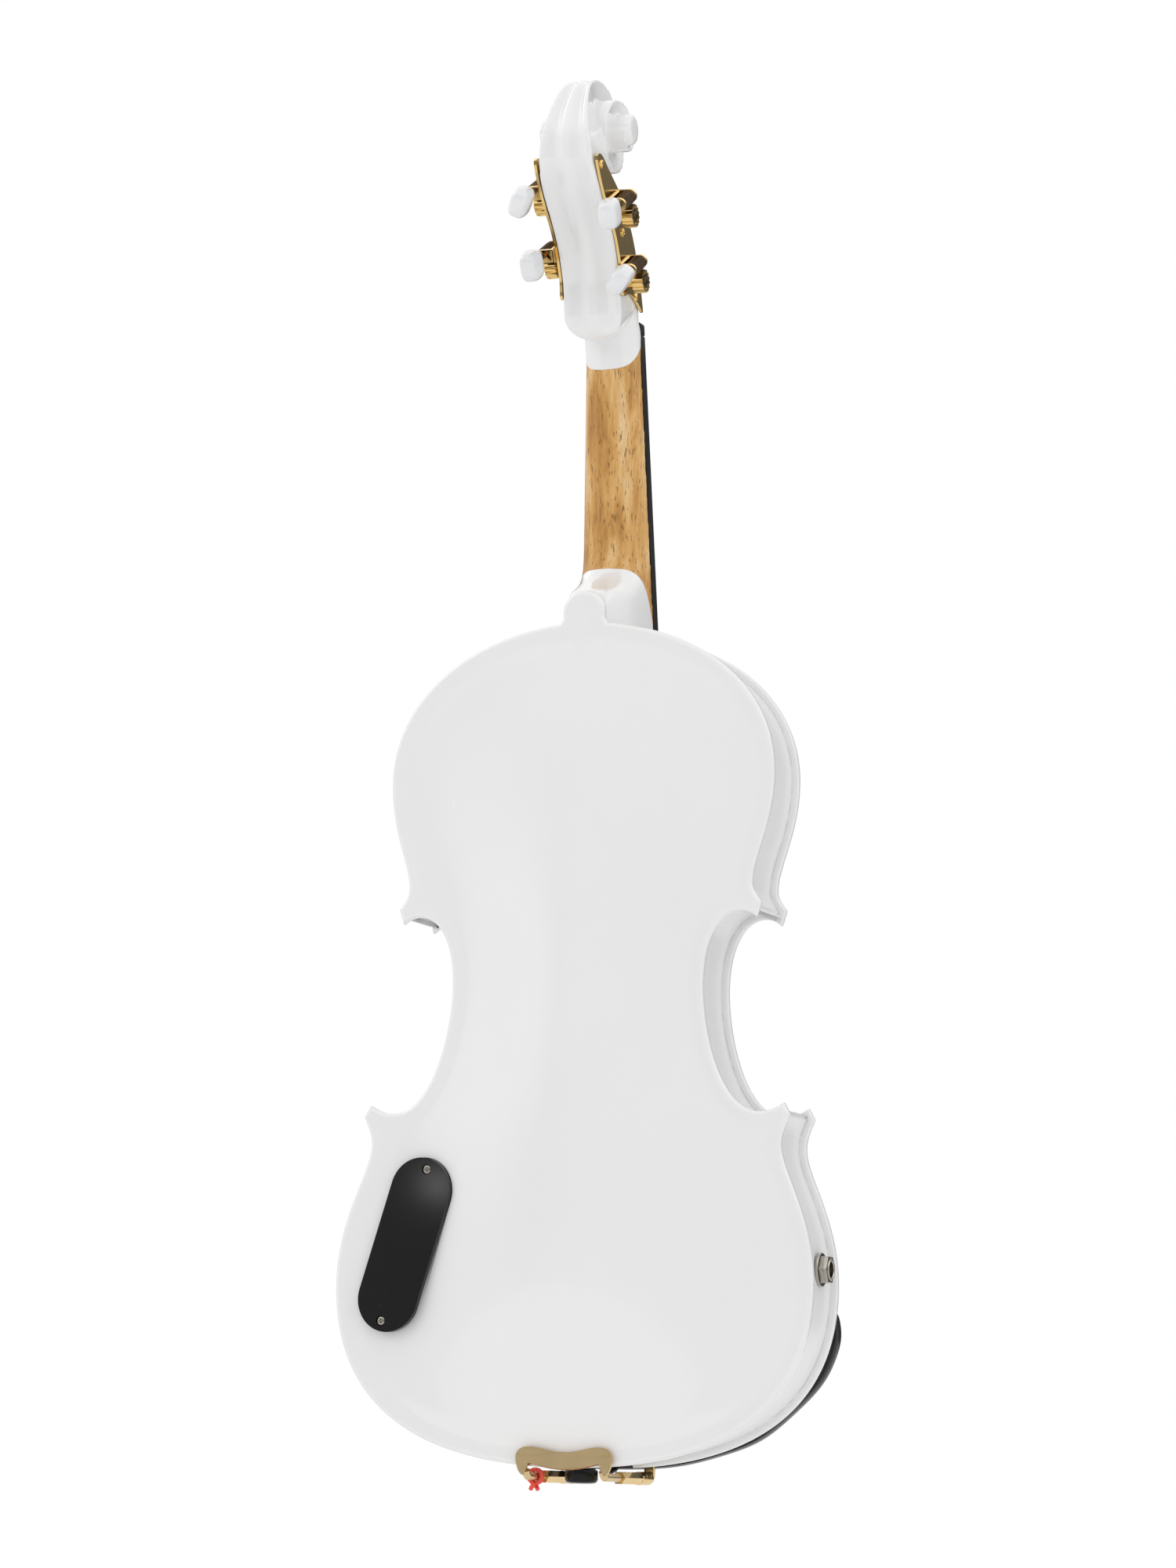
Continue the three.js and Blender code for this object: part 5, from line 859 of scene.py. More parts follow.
# the borders of the white: height at the crest, how far it bends forwards of it, and the crest's level
PAINT = {"head": (469.0, 10.0, 1.5), "heel": (383.4, -10.0, -6.0)}
PAINT_REACH = 12.5
PAINT_SOFT = 0.0002
above = []
for border, bend, crest in PAINT.values():
    off = (crest / 1000 - HANGER.y - deep).math("MAXIMUM", 0.0) * (1000 / PAINT_REACH)
    line = off.math("POWER", 2.0) * (bend / 1000) + (border / 1000 - HANGER.z)
    above.append(high - line)
wobble = (neck_wood.noise(180.0, 2.0) - 0.5) * 0.0006
painted = neck_wood.step(above[0] + wobble, -PAINT_SOFT, PAINT_SOFT)
painted = painted.math("MAXIMUM", neck_wood.step(above[1] * -1 + wobble, -PAINT_SOFT, PAINT_SOFT))
grain = neck_wood.noise(420.0, 5.0, 0.65, vector=neck_wood.place(scale=(1, 1, 0.05)))
cloud = neck_wood.noise(46.0, 4.0, 0.55, vector=neck_wood.place(scale=(1.6, 1.6, 0.4)), distortion=0.6)
fleck = neck_wood.step(neck_wood.noise(1300.0, 2.0, vector=neck_wood.place(scale=(1, 1, 0.16))), 0.6, 0.68)
wood_colour = neck_wood.ramp(grain * 0.32 + cloud * 0.68,
                             (0.34, (0.3, 0.125, 0.025)), (0.44, (0.5, 0.245, 0.055)),
                             (0.53, (0.66, 0.37, 0.115)), (0.64, (0.78, 0.56, 0.29)))
wood_colour = neck_wood.mix(fleck * 0.75, wood_colour, (0.17, 0.07, 0.018))
paint_edge = painted * (1 - painted) * 2.4
white = neck_wood.mix(neck_wood.noise(24.0, 2.0), (0.82, 0.82, 0.82), (0.84, 0.84, 0.838))
neck_wood.tint(paint_edge, neck_wood.mix(painted, wood_colour, white), (0.5, 0.36, 0.2))
neck_wood.gloss(painted, 0.48, 0.15)
neck_wood.set(Coat_Weight=painted * 0.5)
neck_wood.bump(painted + grain * 0.08 * (1 - painted), 0.5, 0.0003)
seat(neck, neck_wood, "body", "maple", "neck_and_scroll", angle=50)

# Tuning machines: one gold side plate on each cheek carries two worms, each driving a wheel on its string post.
# Worm shafts are dark bronze with pearly buttons pinned on; wheels are held by a screw in a dark washer.
# Small cross-head screws fix the plates to the cheeks.
gold = Finish("gold", (0.8, 0.56, 0.22), 0.2, metallic=1.0)
gold.tint(gold.noise(90.0, 3.0), (0.78, 0.53, 0.19), (0.84, 0.61, 0.27))
gold.gloss(gold.noise(220.0, 4.0), 0.1, 0.24)
bronze = Finish("dark_bronze", (0.07, 0.05, 0.032), 0.26, metallic=1.0)
bronze.tint(bronze.noise(160.0, 3.0), (0.045, 0.03, 0.018), (0.12, 0.085, 0.05))
bronze.gloss(bronze.noise(300.0, 3.0), 0.18, 0.36)
pearl = Finish("pearl", (0.8, 0.82, 0.86), 0.16, coat=0.6)
swirl = pearl.noise(40.0, 2.0, 0.5, vector=pearl.place(scale=(1, 1, 2.2)), distortion=1.0)
pearl.set(Base_Color=pearl.ramp(swirl, (0.3, (0.73, 0.74, 0.76)), (0.5, (0.78, 0.785, 0.8)),
                                (0.7, (0.82, 0.82, 0.825))))
pearl.gloss(swirl, 0.24, 0.12)
steel_dark = Finish("dark_steel", (0.06, 0.055, 0.05), 0.3, metallic=1.0)
steel_dark.tint(steel_dark.noise(200.0), (0.035, 0.032, 0.03), (0.1, 0.09, 0.08))
WORM = {"x": 19.3, "rise": 7.85, "start": -1.6, "length": 12.4, "root": 2.45, "crest": 3.2, "shaft": 1.3}
GEAR = {"teeth": 14, "radius": 5.1, "root": 4.3, "width": 5.0}
PITCH = math.pi * (GEAR["radius"] + GEAR["root"]) / GEAR["teeth"]
BUTTON = {"start": 18.7, "length": 13.2, "width": 12.8, "thickness": 8.2}
BUTTON_SHARES = ((0, 0.04, 0.1, 0.25, 0.5, 0.75, 0.9, 0.97, 1), (0.46, 0.68, 0.82, 0.96, 1, 0.96, 0.84, 0.68, 0.5))
PLATE_SHARES = ((-0.085, 0.02), (-0.1, 0.08), (-0.113, 0.19), (-0.108, 0.33), (-0.08, 0.45), (-0.05, 0.53),
                (0.04, 0.66), (0.1, 0.745), (0.15, 0.755), (0.157, 0.7), (0.146, 0.62), (0.122, 0.53), (0.1, 0.47),
                (0.08, 0.37), (0.084, 0.23), (0.108, 0.155), (0.05, 0.14), (-0.01, 0.11), (-0.055, 0.06))
PLATE_X = (13.3, 14.5)
PLATE_SCREWS = ((-0.03, 0.1), (0.005, 0.39), (0.122, 0.712))
EAR = {"thick": 1.6, "reach": 3.0, "root": 13.9}
TOOTH_SHARES = ((0, 0), (0.12, 0.05), (0.24, 0.75), (0.34, 1), (0.5, 1), (0.66, 1), (0.76, 0.75), (0.88, 0.05))
POST_RADIUS = 2.3
# radius and place along the post
POST_SHAPE = ((0, -10.6), (1.9, -10.6), (POST_RADIUS, -10.2), (POST_RADIUS, 0.2), (2.1, 0.7), (2.1, 7.5),
              (POST_RADIUS, 8.0), (POST_RADIUS, 16.5), (1.6, 16.6), (1.6, WORM["x"] + 1.0), (0, WORM["x"] + 1.0))


def rod(name, radius, start, end, soft=0.15, steps=32):
    """A round bar along y with softened ends."""
    return turned(name, [(0, start), (radius - soft, start), (radius, start + soft), (radius, end - soft),
                         (radius - soft, end), (0, end)], steps)


def soften(piece, width, segments=2, angle=32):
    modify(piece, "BEVEL", width=width, segments=segments, limit_method="ANGLE", angle_limit=math.radians(angle))


def raised_to(power, value):
    """A power of a value's size, with its sign."""
    return math.copysign(abs(value) ** power, value)


def fuse(piece, other):
    modify(piece, "BOOLEAN", operation="UNION", object=other, solver="MANIFOLD")
    bpy.data.objects.remove(other)


def block(name, low, high, soft=0.0):
    """A rectangular bar between two corners, with its edges softened."""
    bpy.ops.object.select_all(action="DESELECT")
    bpy.ops.mesh.primitive_cube_add(size=1)
    piece = bpy.context.object
    piece.name = name
    low, high = Vector(low), Vector(high)
    moved(piece, Matrix.Translation((low + high) / 2) @ Matrix.Diagonal((*(high - low), 1)))
    if soft:
        soften(piece, soft)
    return piece


def cross_screw(name, radius, height=0.9, steps=28):
    """A domed screw head round y, its top at y = height, with a cross recess."""
    head = turned(name, [(0, -0.3), (radius, -0.3), (radius, height * 0.35), (radius * 0.86, height * 0.75),
                         (radius * 0.5, height * 0.97), (0, height)], steps)
    arm = radius * 0.62
    for a, b in ((arm, radius * 0.15), (radius * 0.15, arm)):
        cut(head, block("cross_cut", (-a, height * 0.35, -b), (a, height * 2, b)))
    return head


def worm(side, steps=110, sides=44):
    """A threaded shaft between two flanges; the side gives the hand of its thread."""
    rings = []
    for i in range(steps + 1):
        y = WORM["length"] * i / steps
        ease = min(i, steps - i) / steps * 14
        ring = []
        for k in range(sides):
            angle = 2 * math.pi * k / sides
            phase = angle + side * 2 * math.pi * (WORM["start"] + y - 1) / PITCH
            crest = (1 + math.cos(phase)) / 2 * min(ease, 1)
            radius = lerp(WORM["root"], WORM["crest"], crest ** 1.25)
            ring.append((radius * math.sin(angle), WORM["start"] + y, -radius * math.cos(angle)))
        rings.append(ring)
    end = WORM["start"] + WORM["length"]
    return joined(loft("worm", rings), rod("worm_shaft", WORM["shaft"], -3.8, 23.9, 0.3),
                  rod("worm_flange", 2.9, WORM["start"], WORM["start"] + 1.1, 0.45),
                  rod("worm_flange", 2.9, end - 1.1, end, 0.45))


def gear():
    """A ribbed wheel round x, sunk in the middle of its outer face."""
    loop = []
    for k in range(GEAR["teeth"]):
        for share, tall in TOOTH_SHARES:
            radius = lerp(GEAR["root"], GEAR["radius"], tall)
            angle = math.pi / 2 + 2 * math.pi * (k + share) / GEAR["teeth"]
            loop.append((radius * math.cos(angle), radius * math.sin(angle)))
    half = GEAR["width"] / 2
    wheel = slab("wheel", loop, -half, half, lift=lambda a, b, h: (h, a, b))
    cut(wheel, moved(rod("sink_cut", 3.5, half - 0.9, half + 2, 0.1), TO_X))
    soften(wheel, 0.14)
    return wheel


def oval_button():
    """A pillow with an oval outline, along the worm's axis."""
    rings = []
    for i in range(29):
        along = (1 - math.cos(math.pi * i / 28)) / 2
        wide = smooth_between(*BUTTON_SHARES, along)
        turns = [2 * math.pi * k / 48 for k in range(48)]
        rings.append([(wide * BUTTON["width"] / 2 * raised_to(0.6, math.cos(a)),
                       BUTTON["start"] + along * BUTTON["length"],
                       wide * BUTTON["thickness"] / 2 * raised_to(0.6, math.sin(a))) for a in turns])
    grip = loft("pearl_button", rings)
    soften(grip, 0.5, 3, 40)
    return grip


for name, (side, share, laps_from, turn) in MACHINES.items():
    z = share * HEAD_LENGTH
    at_worm = BODY @ HEAD @ Matrix.Translation((side * WORM["x"], 0, z + WORM["rise"]))
    seat(worm(side), bronze, f"worm_{name}", "dark_steel", f"tuner_worm_{name}", frame=at_worm, angle=50)
    grip = moved(oval_button(), Matrix.Rotation(turn * math.pi, 4, "Y"))
    seat(grip, pearl, f"worm_{name}", "pearl", f"tuner_button_{name}", frame=at_worm, angle=50)

    at_post = BODY @ HEAD @ Matrix.Translation((0, POST_LINE, z)) @ Matrix.Diagonal((side, 1, 1, 1))
    wheel = shifted(gear(), WORM["x"])
    washer = moved(rod("wheel_washer", 3.3, WORM["x"] + 1.3, WORM["x"] + 2.1, 0.2), TO_X)
    screw = moved(cross_screw("wheel_screw", 1.7, 0.7), Matrix.Translation((WORM["x"] + 1.9, 0, 0)) @ SCREW_TO_X)
    post = moved(turned("string_post", POST_SHAPE, 40), TO_X)
    cut(post, shifted(rod("string_hole_cut", 0.6, -4, 4), laps_from))
    for piece, finish, slot, *stands_for in ((wheel, gold, "gold", f"tuner_gear_{name}"),
                                             (washer, steel_dark, "dark_steel"),
                                             (screw, bronze, "dark_steel"),
                                             (post, gold, "gold", f"tuner_post_{name}")):
        face_out(moved(piece, at_post))
        seat(piece, finish, f"wheel_{name}", slot, *stands_for, frame=Matrix.Identity(4))


def between(a, b, c, d, t):
    """A place from b to c on the smooth curve through four points."""
    return b + 0.5 * t * (c - a + t * (2 * a - 5 * b + 4 * c - d + t * (3 * b - a - 3 * c + d)))


def closed_curve(points, steps):
    """A smooth closed run through points."""
    count = len(points)
    fours = [[Vector(points[(i + k) % count]) for k in (-1, 0, 1, 2)] for i in range(count)]
    return [tuple(between(*four, k / steps)) for four in fours for k in range(steps)]


HANDS = {"treble": 1, "bass": -1}
for hand, side in HANDS.items():
    plate = slab("side_plate", closed_curve([(y * HEAD_LENGTH, z * HEAD_LENGTH) for y, z in PLATE_SHARES], 4),
                 *PLATE_X, lift=lambda a, b, h: (h, a, b))
    for share in [share for of, share, *_ in MACHINES.values() if of == side]:
        z = share * HEAD_LENGTH + WORM["rise"]
        low, high = WORM["start"] - SEAT_GAP - EAR["thick"], WORM["start"] + WORM["length"] + SEAT_GAP
        reach = EAR["reach"]
        fuse(plate, block("ear_base", (EAR["root"], low, z - reach), (15.4, high + EAR["thick"], z + reach), 0.4))
        for start in (low, high):
            turns = [math.pi * k / 12 - math.pi / 2 for k in range(13)]
            loop = [(WORM["x"] + reach * math.cos(a), z + reach * math.sin(a)) for a in turns]
            loop += [(EAR["root"], z + reach), (EAR["root"], z - reach)]
            fuse(plate, slab("ear", loop, start, start + EAR["thick"]))
        cut(plate, shifted(rod("shaft_cut", WORM["shaft"] + 0.06, low - 2, high + 4), WORM["x"], 0, z))
        cut(plate, shifted(moved(rod("post_cut", POST_BORE, 5, 30), TO_X), 0, POST_LINE, share * HEAD_LENGTH))
    soften(plate, 0.16)
    screws = []
    for y, z in PLATE_SCREWS:
        at_screw = Matrix.Translation((PLATE_X[1], y * HEAD_LENGTH, z * HEAD_LENGTH))
        screws.append(moved(cross_screw("plate_screw", 1.9, 0.8), at_screw @ SCREW_TO_X))
    for piece, *stands_for in ((plate, f"tuner_plate_{hand}"), (joined(*screws),)):
        face_out(moved(piece, BODY @ HEAD @ Matrix.Diagonal((side, 1, 1, 1))))
        seat(piece, gold, "body", "gold", *stands_for, frame=Matrix.Identity(4))

# Fingerboard, nut and saddle: black-stained hardwood, oiled and rubbed to a soft sheen.
# The board is crowned above and hollowed under its free end, and is glued along the neck.
# The nut carries the strings on its crown, and the saddle takes the tailgut over the belly's edge.
ebony = Finish("ebony", (0.012, 0.012, 0.013), 0.36, IOR=1.3)
fibre = ebony.noise(260.0, 4.0, 0.6, vector=ebony.place(scale=(1, 1, 0.04)))
ebony.tint(fibre, (0.004, 0.004, 0.005), (0.02, 0.018, 0.016))
ebony.gloss(fibre, 0.3, 0.45)
ebony.bump(fibre, 0.12, 0.0003)
BOARD_SIDE = 5.6
BOARD_RADIUS = 42.0
NUT_RAISE = 0.7
BOARD_TOP = NUT_LEVEL - NUT_WIDTH - SEAT_GAP
BOARD_BOTTOM = BOARD_TOP - BOARD_LENGTH
SADDLE_REACH = (1.4, 7.0)


def crown_fall(x, radius):
    return radius - math.sqrt(radius ** 2 - x ** 2)


def board_crown(z):
    return neck_face(z) - SEAT_GAP - BOARD_SIDE - crown_fall(board_half(z), BOARD_RADIUS)


def board_ring(z, raised, steps=24):
    half = board_half(z)
    low = neck_face(z) - SEAT_GAP
    across = [half * (1 - 2 * i / steps) for i in range(steps + 1)]
    return ([(-half, low, z), (half, low, z)]
            + [(x, board_crown(z) + crown_fall(x, BOARD_RADIUS) - raised, z) for x in across])


fingerboard = loft("crowned_board", [board_ring(lerp(BOARD_TOP, BOARD_BOTTOM, i / 24), 0) for i in range(25)])
hollow_rings = []
for z in (lerp(BOARD_TOP, BOARD_BOTTOM, 0.62), BOARD_BOTTOM - 2):
    half = board_half(z) - 5
    arc = [(half * math.cos(math.pi * i / 16), 2 - 5 * math.sin(math.pi * i / 16)) for i in range(17)]
    hollow_rings.append([(x, neck_face(z) + y, z) for x, y in arc])
cut(fingerboard, loft("board_hollow_cut", hollow_rings))
soften(fingerboard, 0.6, 3, 40)
seat(fingerboard, ebony, "body", "ebony", "fingerboard")

nut = loft("string_nut", [board_ring(z, NUT_RAISE) for z in (NUT_LEVEL - NUT_WIDTH, NUT_LEVEL - SEAT_GAP)])
soften(nut, 0.9, 4, 50)
seat(nut, ebony, "body", "ebony", "nut")

saddle = slab("saddle_block", [(-17, -15.3), (17, -15.3), (17, -19.2), (12.5, -24.5), (7.5, -27), (-7.5, -27),
                               (-12.5, -24.5), (-17, -19.2)], *SADDLE_REACH, lift=lambda a, b, h: (a, b, h))
soften(saddle, 0.6, 3, 20)
seat(saddle, ebony, "body", "ebony", "saddle")

# Bridge: a thin fitted sheet of hard maple on two feet, with two kidney cuts and a heart, left bare.
# A flat pickup cell in black epoxy is pressed under its bass foot.
BRIDGE_LEVEL = BODY_LENGTH * 0.4523
bridge_wood = Finish("bridge_maple", (0.62, 0.42, 0.22), 0.5)
ray = bridge_wood.noise(500.0, 4.0, 0.6, vector=bridge_wood.place(scale=(0.12, 1, 1)))
bridge_wood.set(Base_Color=bridge_wood.ramp(ray, (0.35, (0.5, 0.31, 0.14)), (0.6, (0.68, 0.48, 0.27))))
bridge_wood.gloss(ray, 0.4, 0.58)
bridge_wood.bump(ray, 0.15, 0.0003)
dress(bridge_wood, "bridge")
cell = Finish("black_plastic", (0.015, 0.015, 0.016), 0.4)
cell.gloss(cell.noise(300.0), 0.3, 0.5)
cell.bump(cell.noise(900.0, 2.0), 0.15, 0.0002)
dress(cell, "bridge_pickup", "battery_box")

# Strings: wound steel over a steel core, from each post over nut and bridge to the hook of its fine tuner.
# The winding is a fine thread, drawn as painted shade and shine in dark and light bands, and the ends lap round the
# posts.
steel = Finish("string_steel", (0.6, 0.6, 0.6), 0.28, metallic=1.0)
# dark bands between light ones: painted shade in the grooves between wraps, and painted shine on them
wrap_shade_bands = steel.node("ShaderNodeTexWave", {"bands_direction": "Z"}, Vector=steel.place(), Scale=700.0, Distortion=0.0)
steel.gloss(steel.noise(400.0), 0.2, 0.36)
steel.tint(wrap_shade_bands, (0.4, 0.4, 0.4), (0.68, 0.68, 0.68))
STRING_SHARES = {"g": -1.0, "d": -1 / 3, "a": 1 / 3, "e": 1.0}
STRING_RADII = {"g": 0.42, "d": 0.4, "a": 0.34, "e": 0.3}
STRING_SPREADS = (16.4, 33.6)
ACTION = 4.4
LAPS = 3.2
HOOK = {"rise": 3.95, "past": 1.9}
nut_crown = board_crown(NUT_LEVEL) - NUT_RAISE
string_slope = (board_crown(BOARD_BOTTOM) - ACTION - nut_crown) / (BOARD_BOTTOM - NUT_LEVEL)
bridge_crown = nut_crown + string_slope * (BRIDGE_LEVEL - NUT_LEVEL)
SADDLE_TOP = -EDGE_FACE - 8
TAIL = {"bottom": 19.0, "length": 108.0, "wide": 42.0, "thick": 5.0, "crown": 34.0, "drop": 1.2, "spread": 27.0}
TUNER_LEVEL = TAIL["bottom"] + TAIL["length"] - 13
SCREW_LEVEL = TUNER_LEVEL - 12.5
GUT_RADIUS = 1.1


def tail_under(z):
    """The underside of the tailpiece at a height, level with the strings."""
    t = (z - SADDLE_REACH[1]) / (BRIDGE_LEVEL - SADDLE_REACH[1])
    return lerp(SADDLE_TOP - GUT_RADIUS, bridge_crown, t) + TAIL["thick"] + TAIL["drop"]


def cord(name, points, radius, sides=14, smooth=0):
    """A round cord along points."""
    points = [Vector(p) for p in points]
    if smooth:
        ends = [points[0] * 2 - points[1], *points, points[-1] * 2 - points[-2]]
        run = []
        for a, b, c, d in zip(ends, ends[1:], ends[2:], ends[3:]):
            run += [between(a, b, c, d, k / smooth) for k in range(smooth)]
        points = run + [points[-1]]
    rings = []
    across = None
    for i, p in enumerate(points):
        along = (points[min(i + 1, len(points) - 1)] - points[max(i - 1, 0)]).normalized()
        if across is None:
            across = along.orthogonal().normalized()
        across = (across - along * across.dot(along)).normalized()
        other = along.cross(across)
        turns = [2 * math.pi * k / sides for k in range(sides)]
        rings.append([p + radius * (math.cos(a) * across + math.sin(a) * other) for a in turns])
    return loft(name, rings)


for name, share in STRING_SHARES.items():
    side, height, laps_from, _ = MACHINES[name]
    radius = STRING_RADII[name]
    lift = radius + 0.1
    nut_x, bridge_x, tail_x = (share * spread / 2 for spread in (*STRING_SPREADS, TAIL["spread"]))
    over_nut = Vector((nut_x, nut_crown + crown_fall(nut_x, BOARD_RADIUS) - lift, NUT_LEVEL))
    over_bridge = Vector((bridge_x, bridge_crown + crown_fall(bridge_x, BOARD_RADIUS) - lift, BRIDGE_LEVEL))
    hook = tail_under(TUNER_LEVEL) - TAIL["thick"] + crown_fall(tail_x, TAIL["crown"]) - HOOK["rise"] - lift
    inside_head = HEAD.inverted() @ over_nut
    z = height * HEAD_LENGTH
    reach = POST_RADIUS + lift
    dy, dz = inside_head.y - POST_LINE, inside_head.z - z
    first = math.atan2(dz, dy) - math.acos(reach / math.hypot(dy, dz))
    laps = []
    for i in range(41):
        along = LAPS * i / 40
        angle = first - 2 * math.pi * along
        x = side * (laps_from - 1 + along * 2 * (radius + 0.08))
        laps.append(HEAD @ Vector((x, POST_LINE + reach * math.cos(angle), z + reach * math.sin(angle))))
    run = [*reversed(laps), over_nut, over_bridge, Vector((tail_x, hook, TUNER_LEVEL + HOOK["past"]))]
    seat(cord(f"wound_string_{name}", run, radius), steel, "body", "string_steel", f"string_{name}")

# Tailpiece: moulded black composite with a crowned face, four built-in fine tuners and holes for the tailgut.
# Each gold screw presses the long arm of a gold lever, whose hook holds the string.
TAIL_SHARES = ((0, 0.03, 0.06, 0.2, 0.45, 0.7, 0.88, 0.96, 1), (0.5, 0.56, 0.6, 0.62, 0.72, 0.88, 0.98, 1, 0.86))
GUT_HALF = 5
GUT_HOLE = TAIL["bottom"] + 7
composite = Finish("tail_composite", (0.01, 0.01, 0.011), 0.26, IOR=1.35)
composite.gloss(composite.noise(120.0), 0.18, 0.32)
composite.tint(composite.noise(60.0), (0.006, 0.006, 0.007), (0.016, 0.016, 0.017))
composite.bump(composite.noise(700.0, 2.0), 0.05, 0.0002)
rings = []
for i in range(41):
    share = i / 40
    z = TAIL["bottom"] + share * TAIL["length"]
    half = smooth_between(*TAIL_SHARES, share) * TAIL["wide"] / 2
    top = tail_under(z) - TAIL["thick"]
    ring = []
    for u in [-1 + k / 6 for k in range(13)]:
        thick = TAIL["thick"] * min(1, 0.6 + 0.8 * (1 - abs(u)))
        ring.append((half * u, top + crown_fall(half * u, TAIL["crown"]) + thick, z))
    ring += [(half * u, top + crown_fall(half * u, TAIL["crown"]), z) for u in [1 - k / 12 for k in range(25)]]
    rings.append(ring)
tailpiece = loft("crowned_tailpiece", rings)
under = tail_under(TUNER_LEVEL)
for share in STRING_SHARES.values():
    x = share * TAIL["spread"] / 2
    cut(tailpiece, block("lever_slot_cut", (x - 1.9, under - 16, TUNER_LEVEL - 3.4),
                         (x + 1.9, under + 16, TUNER_LEVEL + 5)))
    cut(tailpiece, shifted(rod("screw_hole_cut", 1.56, under - 16, under + 16), x, 0, SCREW_LEVEL))
for side in (1, -1):
    cut(tailpiece, shifted(rod("gut_hole_cut", GUT_RADIUS + 0.3, -80, 0), side * GUT_HALF, 0, GUT_HOLE))
soften(tailpiece, 0.45, 3, 38)
seat(tailpiece, composite, "body", "ebony", "tailpiece")
dress(gold, *[f"fine_tuner_lever_{name}" for name in STRING_SHARES])


def grooved(piece, count, ring_radius, radius, low, high, soft, sides):
    """Cuts a ring of round grooves along a turned piece."""
    for k in range(count):
        angle = 2 * math.pi * k / count
        cut(piece, shifted(rod("groove_cut", radius, low, high, soft, sides),
                           ring_radius * math.cos(angle), 0, ring_radius * math.sin(angle)))


for name, share in STRING_SHARES.items():
    x = share * TAIL["spread"] / 2
    low = tail_under(SCREW_LEVEL) + crown_fall(x, TAIL["crown"]) + 1.6
    head = low - TAIL["thick"] - 3.1
    knurl = [(2.9, head), (3.0, head - 0.3), (3.0, head - 3.1), (2.4, head - 4.0)]
    screw = turned("tuner_screw", [(0, low), (1.2, low), (1.5, low - 0.3), (1.5, head), *knurl, (0, head - 4.1)], 48)
    grooved(screw, 16, 3.1, 0.26, head - 6, head + 0.2, 0.05, 8)
    seat(shifted(screw, x, 0, SCREW_LEVEL), gold, f"screw_{name}", "gold", f"fine_tuner_screw_{name}")

# End button and tailgut: a turned black button pressed into the lower edge of the body.
# A black cord loops round its neck, runs over the saddle and goes through the tailpiece.
polish = Finish("polished_black", (0.008, 0.008, 0.009), 0.12, IOR=1.3)
polish.gloss(polish.noise(70.0), 0.08, 0.2)
polish.tint(polish.noise(50.0), (0.005, 0.005, 0.006), (0.014, 0.014, 0.015))
BUTTON_NECK = 4.1
TO_Z = Matrix.Rotation(math.radians(90), 4, "X")
end_button = turned("end_button_turned", [(0, 15), (3.2, 15), (3.6, 14.5), (3.6, 2.5), (BUTTON_NECK, 2.5),
                                          (BUTTON_NECK, -0.2), (5.2, -0.4), (6.4, -0.5), (6.9, -1.1), (6.9, -4.6),
                                          (6.4, -5.7), (5.2, -6.2), (3.2, -6.3), (0, -6.2)], 64)
seat(moved(end_button, TO_Z), polish, "body", "ebony", "end_button", flat=True)
gut_finish = Finish("black_cord", (0.02, 0.02, 0.02), 0.5)
gut_finish.tint(gut_finish.noise(300.0), (0.01, 0.01, 0.01), (0.035, 0.034, 0.033))
gut_y = tail_under(TAIL["bottom"]) + GUT_RADIUS
off = GUT_RADIUS + SEAT_GAP
ring_radius = BUTTON_NECK + off
ring_level = 1.2
bend = off * math.sqrt(0.5)
saddle_end, saddle_front = SADDLE_REACH
half_run = [(GUT_HALF, y, z) for y, z in (
    (gut_y - TAIL["thick"], GUT_HOLE), (gut_y, GUT_HOLE), (gut_y, TAIL["bottom"]), (SADDLE_TOP - off, saddle_front),
    (SADDLE_TOP - off, saddle_end), (SADDLE_TOP - bend, saddle_end - bend), (SADDLE_TOP, saddle_end - off),
    (-EDGE_FACE - GUT_RADIUS, -off))]
half_run += [(ring_radius, y, z) for y, z in (
    (-HALF_RIB, -off), (-HALF_RIB + 2 * GUT_RADIUS, -GUT_RADIUS), (-HALF_RIB / 2, ring_level), (0, ring_level))]
turns = [math.pi * i / 16 for i in range(1, 16)]
ring_arc = [(ring_radius * math.cos(a), ring_radius * math.sin(a), ring_level) for a in turns]
tail_loop = cord("tail_loop", half_run + ring_arc + [(-x, y, z) for x, y, z in reversed(half_run)], GUT_RADIUS)
seat(tail_loop, gut_finish, "body", "black_cord", "tailgut")

# Chin rest: a dished black cup on the bass side, which stands on two feet at the belly's lower edge.
# Two gold posts with hexagonal barrels draw a gold foot against the back through a strip of cork.
chin_black = Finish("chin_rest_black", (0.008, 0.008, 0.009), 0.22, IOR=1.35)
chin_black.gloss(chin_black.noise(90.0), 0.14, 0.3)
chin_black.tint(chin_black.noise(45.0), (0.005, 0.005, 0.006), (0.014, 0.014, 0.015))
CHIN_REACH = 100.0
CHIN_SHARES = ((-0.985, 0.62), (-0.98, 0.52), (-0.92, 0.385), (-0.805, 0.26), (-0.64, 0.13), (-0.44, 0.055),
               (-0.24, 0.012), (0, 0), (0.22, 0.01), (0.33, 0.06), (0.37, 0.16), (0.33, 0.28), (0.2, 0.36),
               (0, 0.42), (-0.14, 0.52), (-0.26, 0.66), (-0.42, 0.76), (-0.62, 0.795), (-0.82, 0.755), (-0.95, 0.69))
CUP_CENTRE = Vector((-0.48, 0.36))
